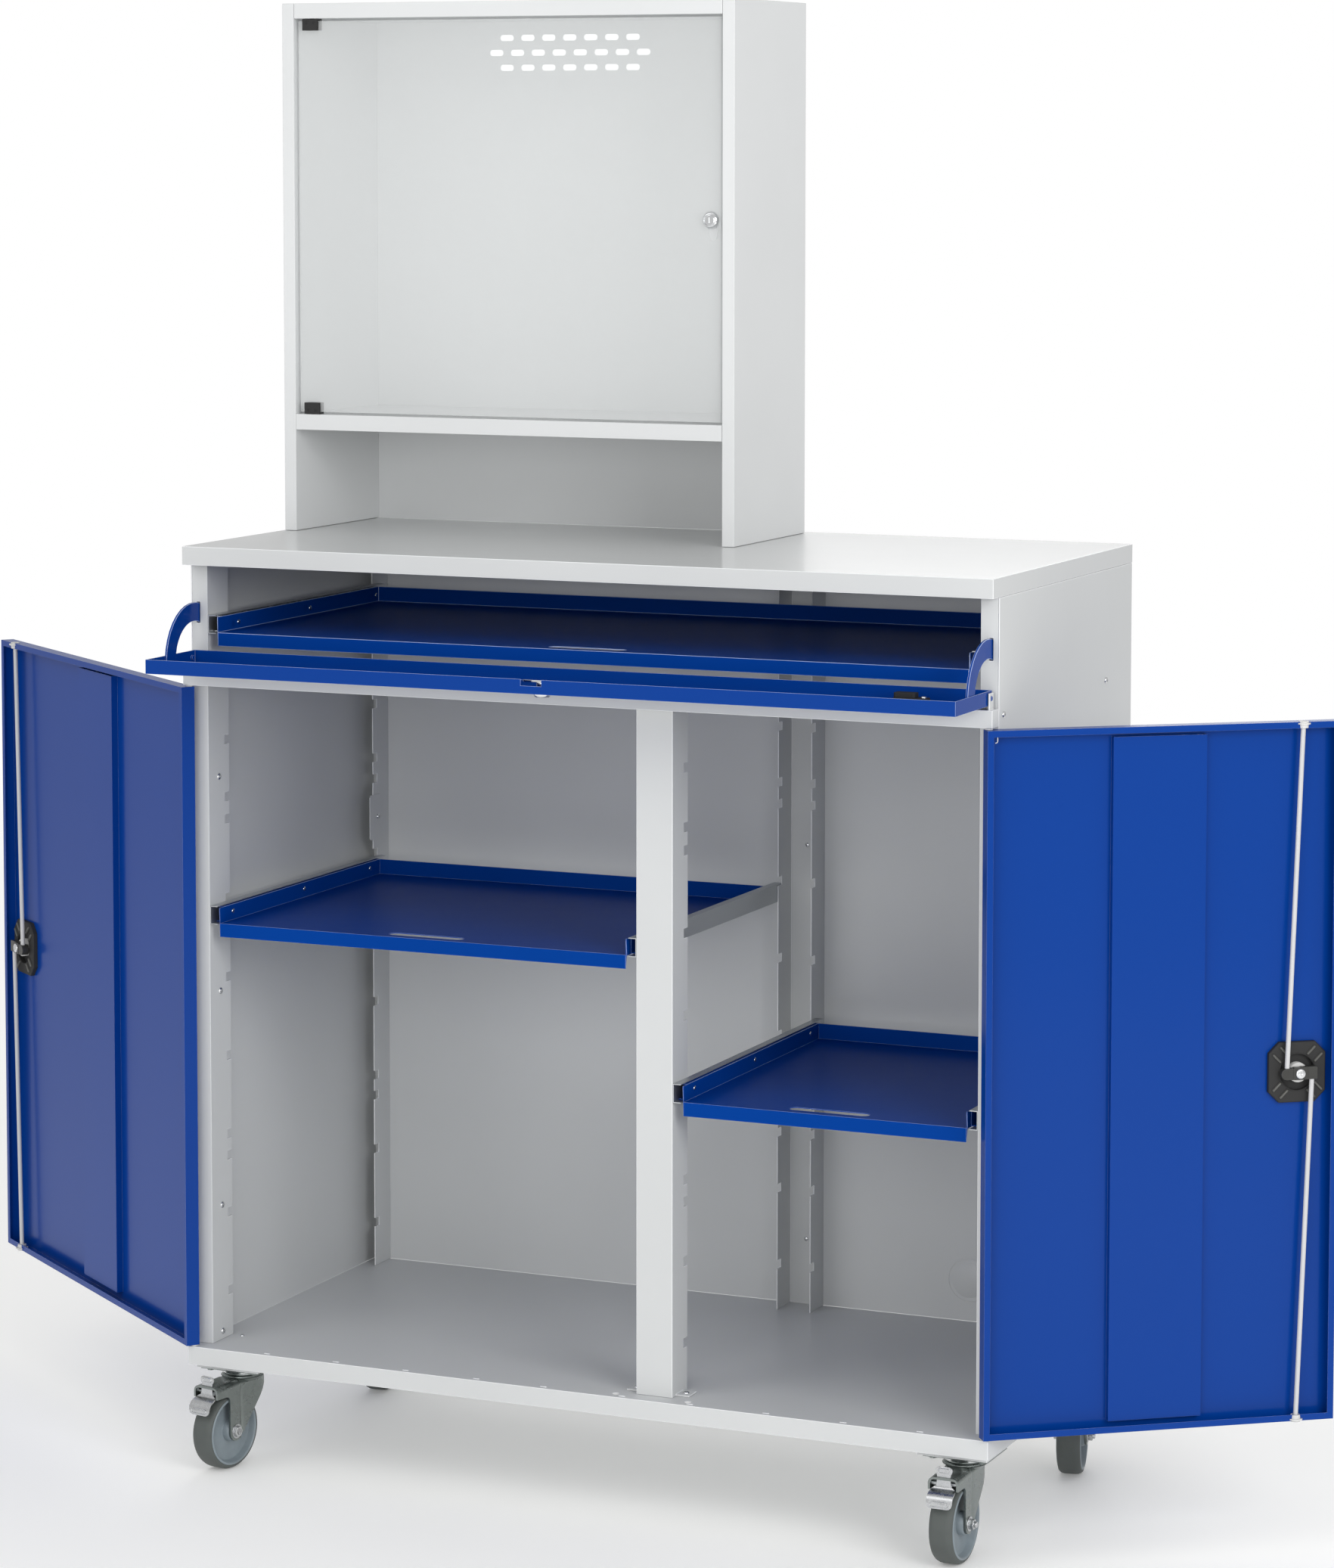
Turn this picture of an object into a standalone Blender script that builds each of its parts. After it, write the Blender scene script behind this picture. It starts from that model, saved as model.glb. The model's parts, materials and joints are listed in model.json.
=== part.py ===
"""Mobile computer cabinet.

A sheet-metal cupboard on four swivel casters. Two doors of unequal width close two compartments,
each with a pull-out shelf. Above the doors a flap covers a keyboard tray, and a glazed screen
housing stands on the worktop. Metres, X to the right, Y to the back, Z up, floor at Z = 0.
"""
import math

import bmesh
import bpy
from mathutils import Matrix, Vector

# Carcass
WIDTH = 1.100
DEPTH = 0.530
SHEET = 0.0015
SEAT = 0.0003
FUSE = 0.0005
BASE_CLEARANCE = 0.136
BASE_LIP = 0.024
LIP_RETURN = 0.012
WORKTOP_LIP = 0.024
RAIL_HEIGHT = 0.0215
POST_SETBACK = 0.023
POST_FACE = 0.022
POST_DEPTH = 0.054
UPRIGHT_DEPTH = 0.046
DIVIDER_X = 0.101
DIVIDER_FACE = 0.049
DIVIDER_DEPTH = 0.047
FOOT_TAB_WIDTH = 0.018
FOOT_TAB_DEPTH = 0.024
FOOT_TAB_THICKNESS = 0.002
NOTCH_DEPTH = 0.012
NOTCH_HEIGHT = 0.012
NOTCH_PITCH = 0.1035
NOTCH_START = 0.055
NOTCH_TWINS = ((6, 0.029), (2, -0.028))

# Casters
WHEEL_RADIUS = 0.050
WHEEL_WIDTH = 0.032
WHEEL_STEPS = 28
RIM_RADIUS = 0.036
RIM_RECESS = 0.007
HUB_RADIUS = 0.014
AXLE_RADIUS = 0.005
TYRE_SHOULDER = 0.006
CASTER_TRAIL = 0.035
CASTER_EDGE = 0.049
CASTER_FRONT = 0.055
CASTER_REAR = 0.055
BEARER_WIDTH = 0.090
BEARER_DROP = 0.006
BEARER_END = 0.030
BEARER_EDGE = 0.0055
BEARER_FRONT = 0.012
PLATE_WIDTH = 0.084
PLATE_DEPTH = 0.070
PLATE_THICKNESS = 0.003
RACE_RADIUS = 0.024
RACE_HEIGHT = 0.008
KING_PIN_RADIUS = 0.006
CROWN_RADIUS = 0.026
CROWN_THICKNESS = 0.008
FORK_SHEET = 0.003
FORK_SIDE_GAP = 0.0008
FORK_LEG_TOP = 0.004
FORK_FRONT = 0.048
FORK_BACK = 0.021
FORK_SHOULDER = 0.014
AXLE_BOSS_RADIUS = 0.012
FORK_NOSE = 0.074
FORK_NOSE_DEPTH = 0.016
FORK_NOSE_PLATE_END = 0.067
PEDAL_PIVOT_FRONT = 0.064
PEDAL_PIVOT_DROP = 0.0095
PEDAL_PIN_RADIUS = 0.0025
PEDAL_SHEET = 0.002
PEDAL_BLOCK = 0.007
PEDAL_WIDTH = 0.028
PEDAL_FALL = 0.013
PEDAL_REACH = 0.022
PEDAL_LIP = 0.012
RELEASE_WIDTH = 0.018
RELEASE_HEIGHT = 0.022
FRONT_LEFT_SWIVEL = -11.0
FRONT_RIGHT_SWIVEL = -1.0
REAR_LEFT_SWIVEL = 8.0
REAR_RIGHT_SWIVEL = 12.0

# Doors
DOOR_HEIGHT = 0.859
DOOR_THICKNESS = 0.018
DOOR_SHEET = 0.0012
DOOR_RIM = 0.011
DOOR_GAP = 0.002
DOOR_EDGE_GAP = 0.0015
DOOR_MEET_GAP = 0.002
DOOR_PIVOT = 0.005
HINGE_PIN_RADIUS = 0.0025
HINGE_PIN_REACH = 0.004
PIN_CLEARANCE = 0.0004
LEFT_DOOR_OPEN = 217.5
RIGHT_DOOR_OPEN = 217.0
STIFFENER_WIDTH = 0.118
STIFFENER_DEPTH = 0.009
STIFFENER_END = 0.0125
STIFFENER_SHARE = 0.49
LOCK_EDGE = 0.048
LOCK_BOX_RADIUS = 0.041
LOCK_BOX_THICKNESS = 0.007
LOCK_SPINDLE_RADIUS = 0.006
CAM_REACH = 0.0165
CAM_THICKNESS = 0.003
CAM_WIDTH = 0.012
CAM_DISC_RADIUS = 0.013
HANDLE_ROSE_RADIUS = 0.022
HANDLE_ROSE_THICKNESS = 0.005
HANDLE_GRIP_LENGTH = 0.062
HANDLE_GRIP_WIDTH = 0.015
HANDLE_GRIP_HEIGHT = 0.020
ROD_RADIUS = 0.003
ROD_HOLE_CLEARANCE = 0.0013
ROD_END_INSET = 0.001
ROD_OVERLAP = 0.006
ROD_CAM_GAP = 0.0004

# Flap
FLAP_HEIGHT = 0.1255
FLAP_THICKNESS = 0.018
FLAP_SHEET = 0.0012
FLAP_SILL_GAP = 0.0045
FLAP_TOP_GAP = 0.003
FLAP_END = 0.0075
FLAP_OPEN = 90.0
FLAP_PIN_RADIUS = 0.003
EAR_GAP = 0.001
EAR_SHEET = 0.002
EAR_FRONT = 0.002
EAR_BACK = 0.0165
EAR_RISE = 0.0065
STAY_INNER_RADIUS = 0.047
STAY_OUTER_RADIUS = 0.071
STAY_THICKNESS = 0.003
STAY_TAIL = 24.0
STAY_STEPS = 12
STAY_SLOT_CLEARANCE = 0.001
CAM_LOCK_RADIUS = 0.008
CAM_LOCK_HEAD_RADIUS = 0.011
CAM_LOCK_HEAD = 0.005
CAM_LOCK_ARM = 0.026
CAM_LOCK_ARM_WIDTH = 0.012
CAM_LOCK_ARM_THICKNESS = 0.0025
FLAP_LOCK_EDGE = 0.022
FLAP_LOCK_DEPTH = 0.0125

# Keyboard tray and pull-out shelves
SLIDE_SPACE = 0.0135
SLIDE_HEIGHT = 0.024
SLIDE_SHEET = 0.0012
SLIDE_CLEARANCE = 0.0006
SLIDE_LAP = 0.014
PULLOUT_FRONT = 0.0235
PULLOUT_BACK_GAP = 0.0087
PULLOUT_SHEET = 0.0012
PULLOUT_LIP = 0.0175
PULLOUT_FLANGE = 0.020
FINGER_LENGTH = 0.105
FINGER_WIDTH = 0.018
FINGER_SETBACK = 0.022
TRAY_RISE = 0.0455
LEFT_SHELF_RISE = 0.553
RIGHT_SHELF_RISE = 0.3745

# Screen housing
HOUSING_WIDTH = 0.6485
HOUSING_DEPTH = 0.240
HOUSING_HEIGHT = 0.697
HOUSING_INSET = 0.004
HOUSING_BACK_INSET = 0.020
HOUSING_WALL = 0.017
HOUSING_SHEET = 0.0012
HOUSING_TOP_THICKNESS = 0.020
HOUSING_SHELF_THICKNESS = 0.0205
BAY_HEIGHT = 0.135
VENT_LENGTH = 0.0205
VENT_HEIGHT = 0.0086
VENT_PITCH = 0.031
VENT_ROW_PITCH = 0.020
VENT_DROP = 0.022
VENT_X = -0.017
VENT_ROWS = (7, 8, 7)
PANE_THICKNESS = 0.005
PANE_SETBACK = 0.006
PANE_GAP = 0.003
PANE_SIDE_GAP = 0.004
PANE_PIVOT = 0.019
CLIP_LENGTH = 0.022
CLIP_HEIGHT = 0.015
CLIP_JAW = 0.004
CLIP_WEB = 0.0022
CLIP_PIN_RADIUS = 0.0025
CLIP_PIN_REACH = 0.005
PANE_LOCK_EDGE = 0.014
PANE_LOCK_DEPTH = 0.004

# Levels and planes that follow from the sizes
HALF = WIDTH / 2
BASE_TOP = BASE_CLEARANCE + BASE_LIP
DOOR_BOTTOM = BASE_TOP + DOOR_GAP
DOOR_TOP = DOOR_BOTTOM + DOOR_HEIGHT
RAIL_BOTTOM = DOOR_TOP + DOOR_GAP
RAIL_TOP = RAIL_BOTTOM + RAIL_HEIGHT
FLAP_BOTTOM = RAIL_TOP + FLAP_SILL_GAP
FLAP_TOP = FLAP_BOTTOM + FLAP_HEIGHT
WORKTOP_BOTTOM = FLAP_TOP + FLAP_TOP_GAP
WORKTOP_TOP = WORKTOP_BOTTOM + WORKTOP_LIP
POST_FOOT = BASE_TOP + SEAT
PANEL_HEAD = WORKTOP_BOTTOM - SEAT
POST_OUTER = HALF - SHEET - SEAT
POST_INNER = POST_OUTER - POST_FACE
BACK_FACE = DEPTH - SHEET - SEAT
DIVIDER_LEFT = DIVIDER_X - DIVIDER_FACE / 2
DIVIDER_RIGHT = DIVIDER_X + DIVIDER_FACE / 2
UPRIGHT_FRONT = BACK_FACE - UPRIGHT_DEPTH
PULLOUT_DEPTH = UPRIGHT_FRONT - PULLOUT_FRONT - PULLOUT_BACK_GAP
TRAY_FLOOR = RAIL_TOP + TRAY_RISE
LEFT_SHELF_FLOOR = BASE_TOP + LEFT_SHELF_RISE
RIGHT_SHELF_FLOOR = BASE_TOP + RIGHT_SHELF_RISE
FLAP_PIVOT_Y = FLAP_THICKNESS / 2
FLAP_PIVOT_Z = FLAP_BOTTOM + FLAP_THICKNESS / 2
FLAP_HALF = HALF - FLAP_END
STAY_X = FLAP_HALF - FLAP_SHEET - SEAT - STAY_THICKNESS / 2
LOCK_LEVEL = DOOR_BOTTOM + DOOR_HEIGHT / 2
DOOR_FACE = -DOOR_PIVOT
DOOR_INSIDE = DOOR_FACE + DOOR_SHEET
LOCK_BOX_FACE = DOOR_INSIDE + SEAT + LOCK_BOX_THICKNESS
CAM_FACE = LOCK_BOX_FACE + SEAT + CAM_THICKNESS
ROD_V = CAM_FACE + ROD_CAM_GAP + ROD_RADIUS
BEARER_BOTTOM = BASE_CLEARANCE - BEARER_DROP
PLATE_TOP = BEARER_BOTTOM - SEAT
PLATE_BOTTOM = PLATE_TOP - PLATE_THICKNESS
RACE_BOTTOM = PLATE_BOTTOM - RACE_HEIGHT
CROWN_TOP = RACE_BOTTOM - SEAT
CROWN_BOTTOM = CROWN_TOP - CROWN_THICKNESS
HOUSING_LEFT = -HALF + HOUSING_INSET
HOUSING_RIGHT = HOUSING_LEFT + HOUSING_WIDTH
HOUSING_BACK = DEPTH - HOUSING_BACK_INSET
HOUSING_SETBACK = HOUSING_BACK - HOUSING_DEPTH
HOUSING_FOOT = WORKTOP_TOP + SEAT
HOUSING_TOP = WORKTOP_TOP + HOUSING_HEIGHT
BAY_LEFT = HOUSING_LEFT + HOUSING_WALL
BAY_RIGHT = HOUSING_RIGHT - HOUSING_WALL
SHELF_BOTTOM = WORKTOP_TOP + BAY_HEIGHT
SHELF_TOP = SHELF_BOTTOM + HOUSING_SHELF_THICKNESS
CEILING = HOUSING_TOP - HOUSING_TOP_THICKNESS
PANE_LEFT = BAY_LEFT + PANE_SIDE_GAP
PANE_RIGHT = BAY_RIGHT - PANE_SIDE_GAP
PANE_BOTTOM = SHELF_TOP + PANE_GAP
PANE_TOP = CEILING - PANE_GAP
PANE_AXIS_X = PANE_LEFT + PANE_PIVOT
PANE_AXIS_Y = HOUSING_SETBACK + PANE_SETBACK + PANE_THICKNESS / 2
LEFT_DOOR_WIDTH = DIVIDER_X - DOOR_MEET_GAP / 2 + HALF - DOOR_EDGE_GAP
RIGHT_DOOR_WIDTH = HALF - DOOR_EDGE_GAP - DIVIDER_X - DOOR_MEET_GAP / 2
DOOR_AXIS_X = HALF - DOOR_EDGE_GAP - DOOR_PIVOT


class Finish:
    """Colour, roughness and metallic value of one kind of surface."""

    def __init__(self, colour, roughness, metallic=0.0, alpha=1.0):
        self.colour = colour
        self.roughness = roughness
        self.metallic = metallic
        self.alpha = alpha


GREY = Finish((0.72, 0.74, 0.74), 0.42)
BLUE = Finish((0.012, 0.075, 0.36), 0.38)
ZINC = Finish((0.55, 0.57, 0.58), 0.38, 1.0)
BLACK = Finish((0.016, 0.016, 0.017), 0.45)
WHITE_ROD = Finish((0.78, 0.78, 0.76), 0.40)
WHEEL_GREY = Finish((0.30, 0.31, 0.32), 0.55)
CLEAR = Finish((0.95, 0.97, 0.97), 0.05, 0.0, 0.25)


def clear_scene():
    """Remove every object of the open scene."""
    for old in list(bpy.data.objects):
        bpy.data.objects.remove(old, do_unlink=True)


def new_collection(name):
    """Return a new collection linked to the scene."""
    collection = bpy.data.collections.new(name)
    bpy.context.scene.collection.children.link(collection)
    return collection


clear_scene()
PARTS = new_collection("computer_cabinet")
CUTTERS = new_collection("cutters")


def material_of(name, finish):
    """Return a Principled material for one piece."""
    material = bpy.data.materials.new(name)
    material.use_nodes = True
    shader = material.node_tree.nodes["Principled BSDF"]
    shader.inputs["Base Color"].default_value = (*finish.colour, 1.0)
    shader.inputs["Roughness"].default_value = finish.roughness
    shader.inputs["Metallic"].default_value = finish.metallic
    shader.inputs["Alpha"].default_value = finish.alpha
    return material


def frame_empty(name, parent=None, location=(0, 0, 0), rotation=(0, 0, 0)):
    """Return an empty that carries pieces, placed on a joint's axis."""
    empty = bpy.data.objects.new(name, None)
    PARTS.objects.link(empty)
    empty.parent = parent
    empty.location = location
    empty.rotation_euler = rotation
    return empty


def place(name, bm, collection, parent, location, rotation):
    """Turn a bmesh into a named object under its parent."""
    mesh = bpy.data.meshes.new(name)
    bm.to_mesh(mesh)
    bm.free()
    piece = bpy.data.objects.new(name, mesh)
    collection.objects.link(piece)
    piece.parent = parent
    piece.location = location
    piece.rotation_euler = rotation
    return piece


def part(name, bm, finish, parent, location=(0, 0, 0), rotation=(0, 0, 0)):
    """Add a piece of the cabinet."""
    piece = place(name, bm, PARTS, parent, location, rotation)
    piece.data.materials.append(material_of(name, finish))
    return piece


def tool(name, bm, parent, location=(0, 0, 0), rotation=(0, 0, 0)):
    """Add a hidden solid that cuts a piece or is joined to it."""
    piece = place(name, bm, CUTTERS, parent, location, rotation)
    piece.hide_render = True
    piece.display_type = "WIRE"
    return piece


def thicken(piece, thickness):
    """Give an open surface its sheet thickness, behind its faces."""
    sheet = piece.modifiers.new("sheet", "SOLIDIFY")
    sheet.thickness = thickness
    sheet.offset = -1.0
    sheet.use_even_offset = True
    return piece


def combine(piece, operation, other):
    """Cut a piece with a tool, or join the tool to it."""
    joined = piece.modifiers.new(other.name, "BOOLEAN")
    joined.operation = operation
    joined.object = other
    joined.solver = "EXACT"
    return piece


def add_box(bm, low, high):
    """Add a box between two corners."""
    low, high = Vector(low), Vector(high)
    size = Matrix.Diagonal((*(high - low), 1.0))
    return bmesh.ops.create_cube(bm, size=1.0, matrix=Matrix.Translation((low + high) / 2) @ size)


def box(low, high):
    """Return a bmesh with one box."""
    bm = bmesh.new()
    add_box(bm, low, high)
    return bm


AXIS_TURN = {
    "X": Matrix.Rotation(math.pi / 2, 4, "Y"),
    "Y": Matrix.Rotation(-math.pi / 2, 4, "X"),
    "Z": Matrix.Identity(4),
}


def add_rod(bm, start, axis, length, radius, segments=20):
    """Add a cylinder that runs from a start point along an axis."""
    turn = AXIS_TURN[axis]
    middle = Vector(start) + turn.to_3x3() @ Vector((0, 0, length / 2))
    bmesh.ops.create_cone(
        bm, cap_ends=True, segments=segments, radius1=radius, radius2=radius, depth=length,
        matrix=Matrix.Translation(middle) @ turn)


def rod(start, axis, length, radius, segments=20):
    """Return a bmesh with one cylinder."""
    bm = bmesh.new()
    add_rod(bm, start, axis, length, radius, segments)
    return bm


SIDES = {
    "-x": Vector((-1, 0, 0)), "+x": Vector((1, 0, 0)),
    "-y": Vector((0, -1, 0)), "+y": Vector((0, 1, 0)),
    "-z": Vector((0, 0, -1)), "+z": Vector((0, 0, 1)),
}


def shell_box(low, high, open_sides, rim=0.0):
    """Return the outer skin of a folded box, open on some sides, with a rim left around each."""
    bm = box(low, high)
    bm.normal_update()
    for side in open_sides:
        face = next(f for f in bm.faces if f.normal.dot(SIDES[side]) > 0.9)
        if rim:
            bmesh.ops.inset_region(bm, faces=[face], thickness=rim)
        bmesh.ops.delete(bm, geom=[face], context="FACES")
    return bm


PROFILE_PLANES = {
    "X": Matrix(((0, 0), (1, 0), (0, 1))),
    "Y": Matrix(((1, 0), (0, 0), (0, 1))),
    "Z": Matrix(((1, 0), (0, 1), (0, 0))),
}


def folded_sheet(profile, start, end, axis, outward):
    """Return a sheet folded along a profile and drawn from start to end along an axis.

    The profile is (x, y) for Z, (x, z) for Y and (y, z) for X. outward is the outer side of its
    first stretch.
    """
    bm = bmesh.new()
    along = SIDES["+" + axis.lower()]
    points = [along * start + PROFILE_PLANES[axis] @ Vector((a, b)) for a, b in profile]
    verts = [bm.verts.new(point) for point in points]
    edges = [bm.edges.new(pair) for pair in zip(verts, verts[1:])]
    drawn = bmesh.ops.extrude_edge_only(bm, edges=edges)["geom"]
    moved = [item for item in drawn if isinstance(item, bmesh.types.BMVert)]
    bmesh.ops.translate(bm, verts=moved, vec=along * (end - start))
    bmesh.ops.recalc_face_normals(bm, faces=bm.faces[:])
    middle = (points[0] + points[1]) / 2
    first = min(bm.faces, key=lambda f: (f.calc_center_median() - along * (end - start) / 2 - middle).length)
    if first.normal.dot(SIDES[outward]) < 0:
        bmesh.ops.reverse_faces(bm, faces=bm.faces[:])
    return bm


def add_slot(bm, centre, length, width, depth, axis, segments=12):
    """Add a round-ended prism for a slot, long in X and drawn along an axis."""
    straight = (length - width) / 2
    turn = AXIS_TURN[axis]
    made = bmesh.ops.create_cone(
        bm, cap_ends=True, segments=segments, radius1=width / 2, radius2=width / 2, depth=depth,
        matrix=turn @ Matrix.Rotation(math.pi / segments, 4, "Z"))
    for vert in made["verts"]:
        vert.co.x += math.copysign(straight, vert.co.x)
        vert.co += Vector(centre)


def outline_plate(points, thickness):
    """Return a flat plate of a closed outline in X and Y, centred on Z = 0."""
    curve = bpy.data.curves.new("outline", "CURVE")
    curve.dimensions = "2D"
    curve.fill_mode = "BOTH"
    curve.extrude = thickness / 2
    spline = curve.splines.new("POLY")
    spline.points.add(len(points) - 1)
    for point, (a, b) in zip(spline.points, points):
        point.co = (a, b, 0.0, 1.0)
    spline.use_cyclic_u = True
    holder = bpy.data.objects.new("outline", curve)
    CUTTERS.objects.link(holder)
    graph = bpy.context.evaluated_depsgraph_get()
    mesh = bpy.data.meshes.new_from_object(holder.evaluated_get(graph))
    bm = bmesh.new()
    bm.from_mesh(mesh)
    bmesh.ops.remove_doubles(bm, verts=bm.verts[:], dist=0.00001)
    bpy.data.objects.remove(holder, do_unlink=True)
    bpy.data.curves.remove(curve)
    bpy.data.meshes.remove(mesh)
    return bm


def arc(radius, first, last, steps, centre=(0.0, 0.0)):
    """Return points along an arc, angles in degrees."""
    angles = [math.radians(first + (last - first) * i / steps) for i in range(steps + 1)]
    return [(centre[0] + radius * math.cos(a), centre[1] + radius * math.sin(a)) for a in angles]


def smooth(piece, angle=35.0):
    """Shade a round piece smooth up to an edge angle."""
    piece.data.shade_smooth()
    piece.data.set_sharp_from_angle(angle=math.radians(angle))
    return piece


def door_corner(width, opening):
    """Return how far an open door's free edge reaches sideways from its axis."""
    turn = math.radians(opening)
    reach = width - DOOR_PIVOT
    inside = DOOR_THICKNESS - DOOR_PIVOT
    sides = (-DOOR_PIVOT, inside)
    return max(-reach * math.cos(turn) - v * math.sin(turn) for v in sides)


# The origin is under the middle of the cabinet's box, as it stands with open doors and flap
LEFT_REACH = -DOOR_AXIS_X - door_corner(LEFT_DOOR_WIDTH, LEFT_DOOR_OPEN)
RIGHT_REACH = DOOR_AXIS_X + door_corner(RIGHT_DOOR_WIDTH, RIGHT_DOOR_OPEN)
FRONT_REACH = FLAP_PIVOT_Y - (FLAP_TOP - FLAP_PIVOT_Z)
ROOT = frame_empty("cabinet", None, (-(LEFT_REACH + RIGHT_REACH) / 2, -(FRONT_REACH + DEPTH) / 2, 0))


def notch_cutters(name, x_low, x_high, y_low, y_high, head):
    """Return a tool with a row of notches up an upright's edge, two of them with a twin close by."""
    bm = bmesh.new()
    count = int((head - POST_FOOT - NOTCH_START - NOTCH_HEIGHT) / NOTCH_PITCH) + 1
    levels = [POST_FOOT + NOTCH_START + i * NOTCH_PITCH for i in range(count)]
    levels += [levels[i] + shift for i, shift in NOTCH_TWINS if i < count]
    for z in levels:
        add_box(bm, (x_low, y_low, z), (x_high, y_high, z + NOTCH_HEIGHT))
    return tool(name, bm, ROOT)


def build_base():
    """Base pan with its two caster bearers, and holes for door pins and lock rods."""
    low = (-HALF, 0, BASE_CLEARANCE)
    base = part("base_pan", shell_box(low, (HALF, DEPTH, BASE_TOP), ["-z"], LIP_RETURN), GREY, ROOT)
    thicken(base, SHEET)
    for name, x in (("left", -HALF + BEARER_EDGE), ("right", HALF - BEARER_EDGE - BEARER_WIDTH)):
        corner = (x, BEARER_FRONT, BEARER_BOTTOM)
        far = (x + BEARER_WIDTH, DEPTH - BEARER_END, BASE_TOP - SHEET + FUSE)
        bearer = tool("bearer_" + name, shell_box(corner, far, ["+z", "+y"]), ROOT)
        combine(base, "UNION", thicken(bearer, SHEET))
    cut_door_holes(base, BASE_TOP - SHEET)
    return base


def cut_door_holes(piece, level):
    """Cut the holes for hinge pins and lock rods through a sheet at a level."""
    bm = bmesh.new()
    start = level - SHEET
    for side, width in ((-1, LEFT_DOOR_WIDTH), (1, RIGHT_DOOR_WIDTH)):
        axis_x = side * DOOR_AXIS_X
        rod_x = axis_x - side * (width - DOOR_PIVOT - LOCK_EDGE)
        pin = (axis_x, DOOR_PIVOT, start)
        add_rod(bm, pin, "Z", 3 * SHEET, HINGE_PIN_RADIUS + PIN_CLEARANCE, 16)
        bolt = (rod_x, DOOR_PIVOT + ROD_V, start)
        add_rod(bm, bolt, "Z", 3 * SHEET, ROD_RADIUS + ROD_HOLE_CLEARANCE, 16)
    combine(piece, "DIFFERENCE", tool(piece.name + "_holes", bm, ROOT))


def build_worktop():
    """Worktop pan with folded lips."""
    low = (-HALF, 0, WORKTOP_BOTTOM)
    top = part("worktop", shell_box(low, (HALF, DEPTH, WORKTOP_TOP), ["-z"], LIP_RETURN), GREY, ROOT)
    thicken(top, SHEET)


def build_panels():
    """Side panels and back panel."""
    for name, x in (("left_side_panel", -HALF), ("right_side_panel", HALF - SHEET)):
        low = (x, POST_SETBACK, POST_FOOT)
        part(name, box(low, (x + SHEET, BACK_FACE, PANEL_HEAD)), GREY, ROOT)
    low = (-HALF + SEAT, DEPTH - SHEET, POST_FOOT)
    part("back_panel", box(low, (HALF - SEAT, DEPTH, PANEL_HEAD)), GREY, ROOT)


def build_posts():
    """Front posts with stay slots and notches, and rear uprights in the back corners, notched in front."""
    back = POST_SETBACK + POST_DEPTH
    slot_low = math.sqrt(STAY_INNER_RADIUS ** 2 - (POST_SETBACK + SHEET - FLAP_PIVOT_Y) ** 2)
    slot_high = math.sqrt(STAY_OUTER_RADIUS ** 2 - (POST_SETBACK - FLAP_PIVOT_Y) ** 2)
    slot_half = STAY_THICKNESS / 2 + STAY_SLOT_CLEARANCE
    for name, side in (("left", -1), ("right", 1)):
        inner = side * POST_INNER
        outer = side * POST_OUTER
        profile = [(outer, POST_SETBACK), (inner, POST_SETBACK), (inner, back)]
        post = part(name + "_front_post", folded_sheet(profile, POST_FOOT, PANEL_HEAD, "Z", "-y"), GREY, ROOT)
        thicken(post, SHEET)
        slot_foot = FLAP_PIVOT_Z + slot_low - STAY_SLOT_CLEARANCE
        slot_head = FLAP_PIVOT_Z + slot_high + STAY_SLOT_CLEARANCE
        slot = box((side * STAY_X - slot_half, POST_SETBACK - SHEET, slot_foot),
                   (side * STAY_X + slot_half, POST_SETBACK + 2 * SHEET, slot_head))
        combine(post, "DIFFERENCE", tool(name + "_stay_slot", slot, ROOT))
        wall = sorted((inner - side * SHEET, inner + side * 2 * SHEET))
        notches = notch_cutters(name + "_post_notches", *wall, back - NOTCH_DEPTH, back + SHEET, RAIL_BOTTOM)
        combine(post, "DIFFERENCE", notches)
        profile = [(inner, UPRIGHT_FRONT), (inner, BACK_FACE), (outer, BACK_FACE)]
        skin = folded_sheet(profile, POST_FOOT, PANEL_HEAD, "Z", "-x" if side > 0 else "+x")
        upright = part(name + "_rear_upright", skin, GREY, ROOT)
        thicken(upright, SHEET)
        notches = notch_cutters(
            name + "_upright_notches", *wall, UPRIGHT_FRONT - SHEET, UPRIGHT_FRONT + NOTCH_DEPTH, RAIL_BOTTOM)
        combine(upright, "DIFFERENCE", notches)


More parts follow.
